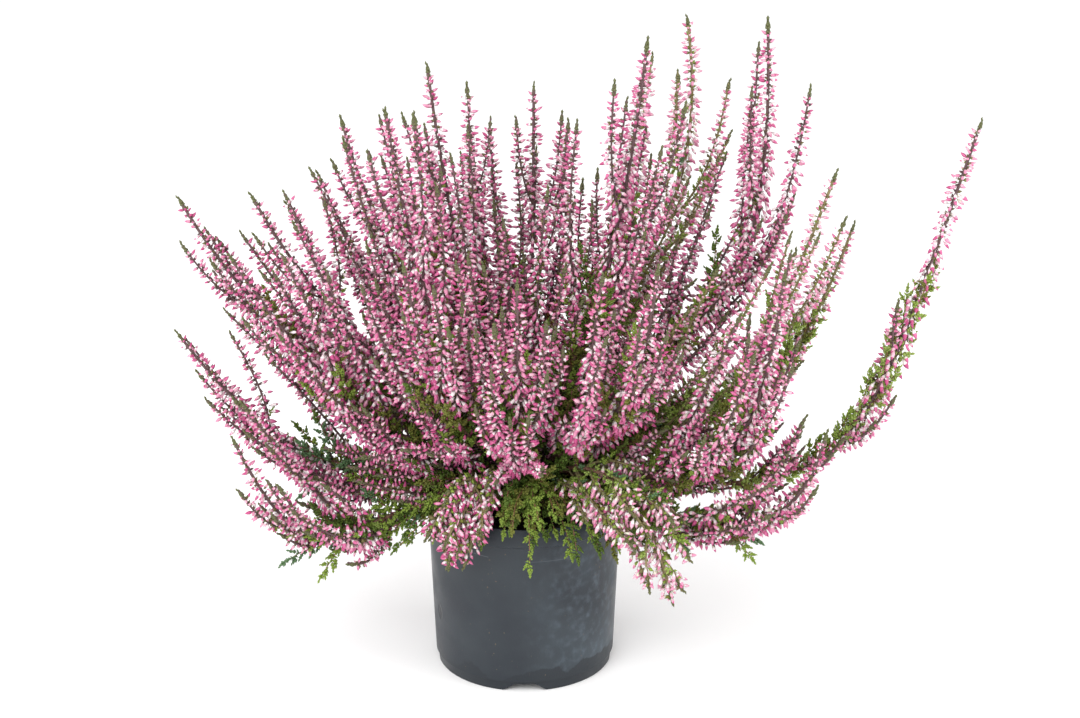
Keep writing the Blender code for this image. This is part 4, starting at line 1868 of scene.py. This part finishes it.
def spun(name: str, profile: Sequence[tuple[float, float]], steps: int) -> bpy.types.Object:
    """A profile of (radius, height) pairs spun round the axis into a closed solid.

    Args:
        name: The object's name.
        profile: The pairs, from the axis at the top to the axis at the foot.
        steps: How many steps the spin takes.

    Returns:
        The object, active and in object mode.
    """
    deselect_all()
    bpy.ops.mesh.primitive_plane_add(size=0.001, location=(0.0, 0.0, 0.0))
    obj = bpy.context.active_object
    obj.name = obj.data.name = name
    bpy.ops.object.mode_set(mode="EDIT")
    bpy.ops.mesh.select_all(action="SELECT")
    bpy.ops.mesh.merge(type="CENTER")
    radius, height = profile[0]
    bpy.ops.transform.translate(value=(radius, 0.0, height))
    for (radius, height), (next_radius, next_height) in pairwise(profile):
        step = {"value": (next_radius - radius, 0.0, next_height - height)}
        bpy.ops.mesh.extrude_region_move(TRANSFORM_OT_translate=step)
    bpy.ops.mesh.select_all(action="SELECT")
    bpy.ops.mesh.spin(steps=steps, angle=math.tau, center=(0.0, 0.0, 0.0), axis=(0.0, 0.0, 1.0))
    bpy.ops.mesh.select_all(action="SELECT")
    bpy.ops.mesh.remove_doubles(threshold=0.00001)
    bpy.ops.mesh.normals_make_consistent(inside=False)
    bpy.ops.object.mode_set(mode="OBJECT")
    return obj


def apply_modifiers(obj: bpy.types.Object) -> None:
    """Applies an object's modifiers in order.

    Args:
        obj: The object.
    """
    deselect_all()
    obj.select_set(True)
    bpy.context.view_layer.objects.active = obj
    for modifier in list(obj.modifiers):
        bpy.ops.object.modifier_apply(modifier=modifier.name)


def cut_away(obj: bpy.types.Object, cutter: bpy.types.Object) -> None:
    """Cuts one object out of another, and removes the cutter.

    Args:
        obj: The object to cut.
        cutter: What is cut out of it.
    """
    modifier = obj.modifiers.new("cut", "BOOLEAN")
    modifier.operation = "DIFFERENCE"
    modifier.solver = "EXACT"
    modifier.object = cutter
    apply_modifiers(obj)
    bpy.data.objects.remove(cutter)


@dataclass
class Pot:
    """The round nursery pot, with a rim band, a foot band, drain notches and drain holes."""

    height: float = POT_HEIGHT
    rim_radius: float = RIM_RADIUS
    foot_radius: float = 0.050
    wall: float = 0.0014
    rim_band: float = 0.011
    rim_step: float = 0.0008
    foot_band: float = 0.0062
    foot_step: float = 0.0009
    floor_lift: float = 0.0042
    pad_radius: float = 0.016
    steps: int = 144
    notches: int = 4
    notch_height: float = 0.0046
    notch_foot: float = 0.028
    notch_top: float = 0.011
    drains: int = 4
    drain_radius: float = 0.004
    drain_ring: float = 0.032

    def radius_at(self, height: float) -> float:
        """The outer radius between the two bands.

        Args:
            height: A height over the foot.

        Returns:
            The radius there.
        """
        share = height / self.height
        foot, top = self.foot_radius + self.foot_step, self.rim_radius - self.rim_step
        return foot * (1 - share) + top * share

    def profile(self) -> list[tuple[float, float]]:
        """The pot's outline, from the middle of the floor over the rim and down to the pad.

        Returns:
            Pairs of a radius and a height.
        """
        floor = self.floor_lift + self.wall
        inside_top = self.height - self.rim_band
        bead = inside_top - 0.0006
        points = [
            (0.0, floor),
            (self.radius_at(floor) - self.wall - 0.0015, floor),
            (self.radius_at(floor) - self.wall, floor + 0.0015),
            (self.radius_at(inside_top) - self.wall, inside_top),
            (self.rim_radius - self.wall, inside_top + 0.0012),
            (self.rim_radius - self.wall, self.height - 0.0005),
            (self.rim_radius - self.wall * 0.8, self.height - 0.0001),
            (self.rim_radius - self.wall / 2, self.height),
            (self.rim_radius - self.wall * 0.2, self.height - 0.0001),
            (self.rim_radius, self.height - 0.0005),
            (self.rim_radius, inside_top + 0.0003),
            (self.rim_radius - 0.0003, inside_top),
        ]
        rows = 16
        for row in range(rows + 1):
            height = bead + (self.foot_band - bead) * row / rows
            points.append((self.radius_at(height), height))
        points += [
            (self.foot_radius + 0.0002, self.foot_band - 0.0005),
            (self.foot_radius, self.foot_band - 0.0010),
            (self.foot_radius, 0.0006),
            (self.foot_radius - 0.0003, 0.0001),
            (self.foot_radius - 0.0006, 0.0),
            (self.foot_radius - self.wall - 0.0004, 0.0),
            (self.foot_radius - self.wall - 0.0008, self.floor_lift),
            (self.pad_radius + 0.0012, self.floor_lift),
            (self.pad_radius, 0.0),
            (0.0, 0.0),
        ]
        return points

    def notch_cutter(self, index: int) -> bpy.types.Object:
        """The wedge-sided gap in the foot ring.

        Args:
            index: Which of its places it is at, with the first at the front.

        Returns:
            The shape to cut away.
        """
        deselect_all()
        bpy.ops.mesh.primitive_cube_add(size=1.0)
        obj = bpy.context.active_object
        bpy.ops.object.mode_set(mode="EDIT")
        bpy.ops.mesh.select_all(action="SELECT")
        bpy.ops.transform.resize(value=(0.012, self.notch_foot, self.notch_height + 0.001))
        bpy.ops.transform.translate(value=(0.0, 0.0, (self.notch_height - 0.001) / 2))
        select_points(obj, lambda point: point.z > 0.001)
        bpy.ops.transform.resize(value=(1.0, self.notch_top / self.notch_foot, 1.0))
        bpy.ops.mesh.bevel(offset=0.0012, segments=3)
        bpy.ops.object.mode_set(mode="OBJECT")
        bearing = math.radians(270 + 360 * index / self.notches)
        obj.location = polar(bearing, self.foot_radius - 0.002, 0.0)
        obj.rotation_euler.z = bearing
        bpy.context.view_layer.update()
        return obj

    def drain_cutter(self, index: int) -> bpy.types.Object:
        """A drain hole in the floor.

        Args:
            index: Which of its places it is at.

        Returns:
            The shape to cut away.
        """
        deselect_all()
        bearing = math.radians(45 + 360 * index / self.drains)
        place = polar(bearing, self.drain_ring, self.floor_lift)
        bpy.ops.mesh.primitive_cylinder_add(
            vertices=32, radius=self.drain_radius, depth=0.02, location=place
        )
        return bpy.context.active_object

    def build(self) -> None:
        """Turns the pot, cuts its notches and holes, and dresses it."""
        obj = spun("pot_shell", self.profile(), self.steps)
        for index in range(self.notches):
            cut_away(obj, self.notch_cutter(index))
        for index in range(self.drains):
            cut_away(obj, self.drain_cutter(index))
        finished(obj, pot_plastic())
        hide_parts("pot")


@dataclass
class Compost:
    """The potting compost, slightly domed, with a crumbly top."""

    top: float = 0.0895
    dome: float = 0.0025
    foot: float = 0.0059
    radius: float = 0.0528
    foot_radius: float = 0.0492
    rings: int = 22
    steps: int = 72
    crumb_height: float = 0.0011
    crumb_scale: float = 260.0
    sunk: float = 0.0004

    def build(self) -> None:
        """Turns the filling and roughens its top."""
        profile = [(0.0, self.top)]
        for ring in range(1, self.rings + 1):
            share = ring / self.rings
            profile.append((self.radius * share, self.top - self.dome * share**2))
        profile += [(self.foot_radius, self.foot), (0.0, self.foot)]
        obj = spun("compost_bed", profile, self.steps)
        for vert in obj.data.vertices:
            on_top = vert.co.z > self.top - self.dome - 0.0005
            if on_top and vert.co.xy.length < self.radius - 0.001:
                vert.co.z += self.crumb_height * noise.noise(vert.co * self.crumb_scale) - self.sunk
        finished(obj, compost_earth(), 60.0)
        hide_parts("compost")


@dataclass
class Knob:
    """The short woody stem inside the crown, swollen where the shoots leave it."""

    height: float = KNOB_HEIGHT
    radius: float = KNOB_RADIUS
    neck: float = 0.0095
    flare: float = 0.017
    foot: float = 0.0898
    rings: int = 16
    steps: int = 48
    relief: float = 0.0007
    relief_scale: float = 420.0

    def build(self) -> None:
        """Turns the stem, roughens its bark and dresses it."""
        profile = [(0.0, self.height + self.radius)]
        for ring in range(1, self.rings + 1):
            angle = math.radians(90 - 135 * ring / self.rings)
            across, rise = math.cos(angle) * self.radius, math.sin(angle) * self.radius
            profile.append((max(across, 0.0), self.height + rise))
        profile += [
            (self.neck, self.foot + 0.0045),
            (self.neck + 0.0022, self.foot + 0.0022),
            (self.flare - 0.002, self.foot + 0.0010),
            (self.flare, self.foot),
            (0.0, self.foot),
        ]
        obj = spun("stem_knob", profile, self.steps)
        for vert in obj.data.vertices:
            if vert.co.z > self.foot + 0.0005:
                out = vert.co.normalized()
                vert.co += out * self.relief * noise.noise(vert.co * self.relief_scale)
        finished(obj, Wood.BARK.value.material(), 50.0)
        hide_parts("stem")


# The studio


@dataclass
class Studio:
    """A plain pale floor, soft light and the camera."""

    camera_place: tuple[float, float, float] = (0.0, -1.4281, 0.7214)
    camera_pitch: float = 20.706
    camera_yaw: float = 0.3560
    lens: float = 91.17
    crown_middle: tuple[float, float, float] = (0.0, 0.0, 0.15)

    def build(self) -> None:
        """Sets the studio up."""
        self.add_floor()
        self.add_world()
        self.add_light("key_light", (-0.7, -1.5, 1.4), size=1.5, power=32.0)
        self.add_light("right_light", (1.5, -0.5, 0.9), size=1.2, power=17.0)
        self.add_light("left_light", (-1.6, -0.1, 0.7), size=1.2, power=10.0)
        self.add_camera()

    def add_floor(self) -> None:
        """The floor."""
        deselect_all()
        bpy.ops.mesh.primitive_plane_add(size=30.0, location=(0.0, 0.0, -0.0002))
        floor = bpy.context.active_object
        floor.name = "studio_floor"
        finish = PlainFinish("studio_white", (0.93, 0.93, 0.93), 0.9, 0.0)
        floor.data.materials.append(finish.material())

    @staticmethod
    def add_world() -> None:
        """Even white light from all round, and plain output colours."""
        world = bpy.data.worlds.new("studio")
        world.use_nodes = True
        background = world.node_tree.nodes["Background"]
        background.inputs["Color"].default_value = (1.0, 1.0, 1.0, 1.0)
        background.inputs["Strength"].default_value = 0.95
        bpy.context.scene.world = world
        bpy.context.scene.view_settings.view_transform = "Standard"

    def add_light(
        self, name: str, place: tuple[float, float, float], size: float, power: float
    ) -> None:
        """Adds a soft square light that faces the crown.

        Args:
            name: Its name.
            place: Where it is.
            size: The length of its sides.
            power: Its power, in watts.
        """
        light = bpy.data.lights.new(name, "AREA")
        light.size = size
        light.energy = power
        obj = bpy.data.objects.new(name, light)
        obj.location = place
        aim = Vector(self.crown_middle) - Vector(place)
        obj.rotation_euler = aim.to_track_quat("-Z", "Y").to_euler()
        bpy.context.scene.collection.objects.link(obj)

    def add_camera(self) -> None:
        """The camera, where the photograph was taken from."""
        camera = bpy.data.cameras.new("camera")
        camera.lens = self.lens
        camera.sensor_width = 36.0
        camera.clip_end = 100.0
        obj = bpy.data.objects.new("camera", camera)
        obj.location = self.camera_place
        obj.rotation_euler = (math.radians(90 - self.camera_pitch), 0.0, math.radians(-self.camera_yaw))
        bpy.context.scene.collection.objects.link(obj)
        bpy.context.scene.camera = obj


def write_sizes() -> None:
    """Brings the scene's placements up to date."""
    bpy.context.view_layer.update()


def main() -> None:
    """Builds the plant, its pot and the studio."""
    logging.basicConfig(level=logging.INFO, format="%(name)s: %(message)s")
    Pot().build()
    Compost().build()
    Knob().build()
    growth = Growth(Crown(), SmallShapes())
    growth.grow()
    growth.build()
    Studio().build()
    write_sizes()


if __name__ == "__main__":
    main()
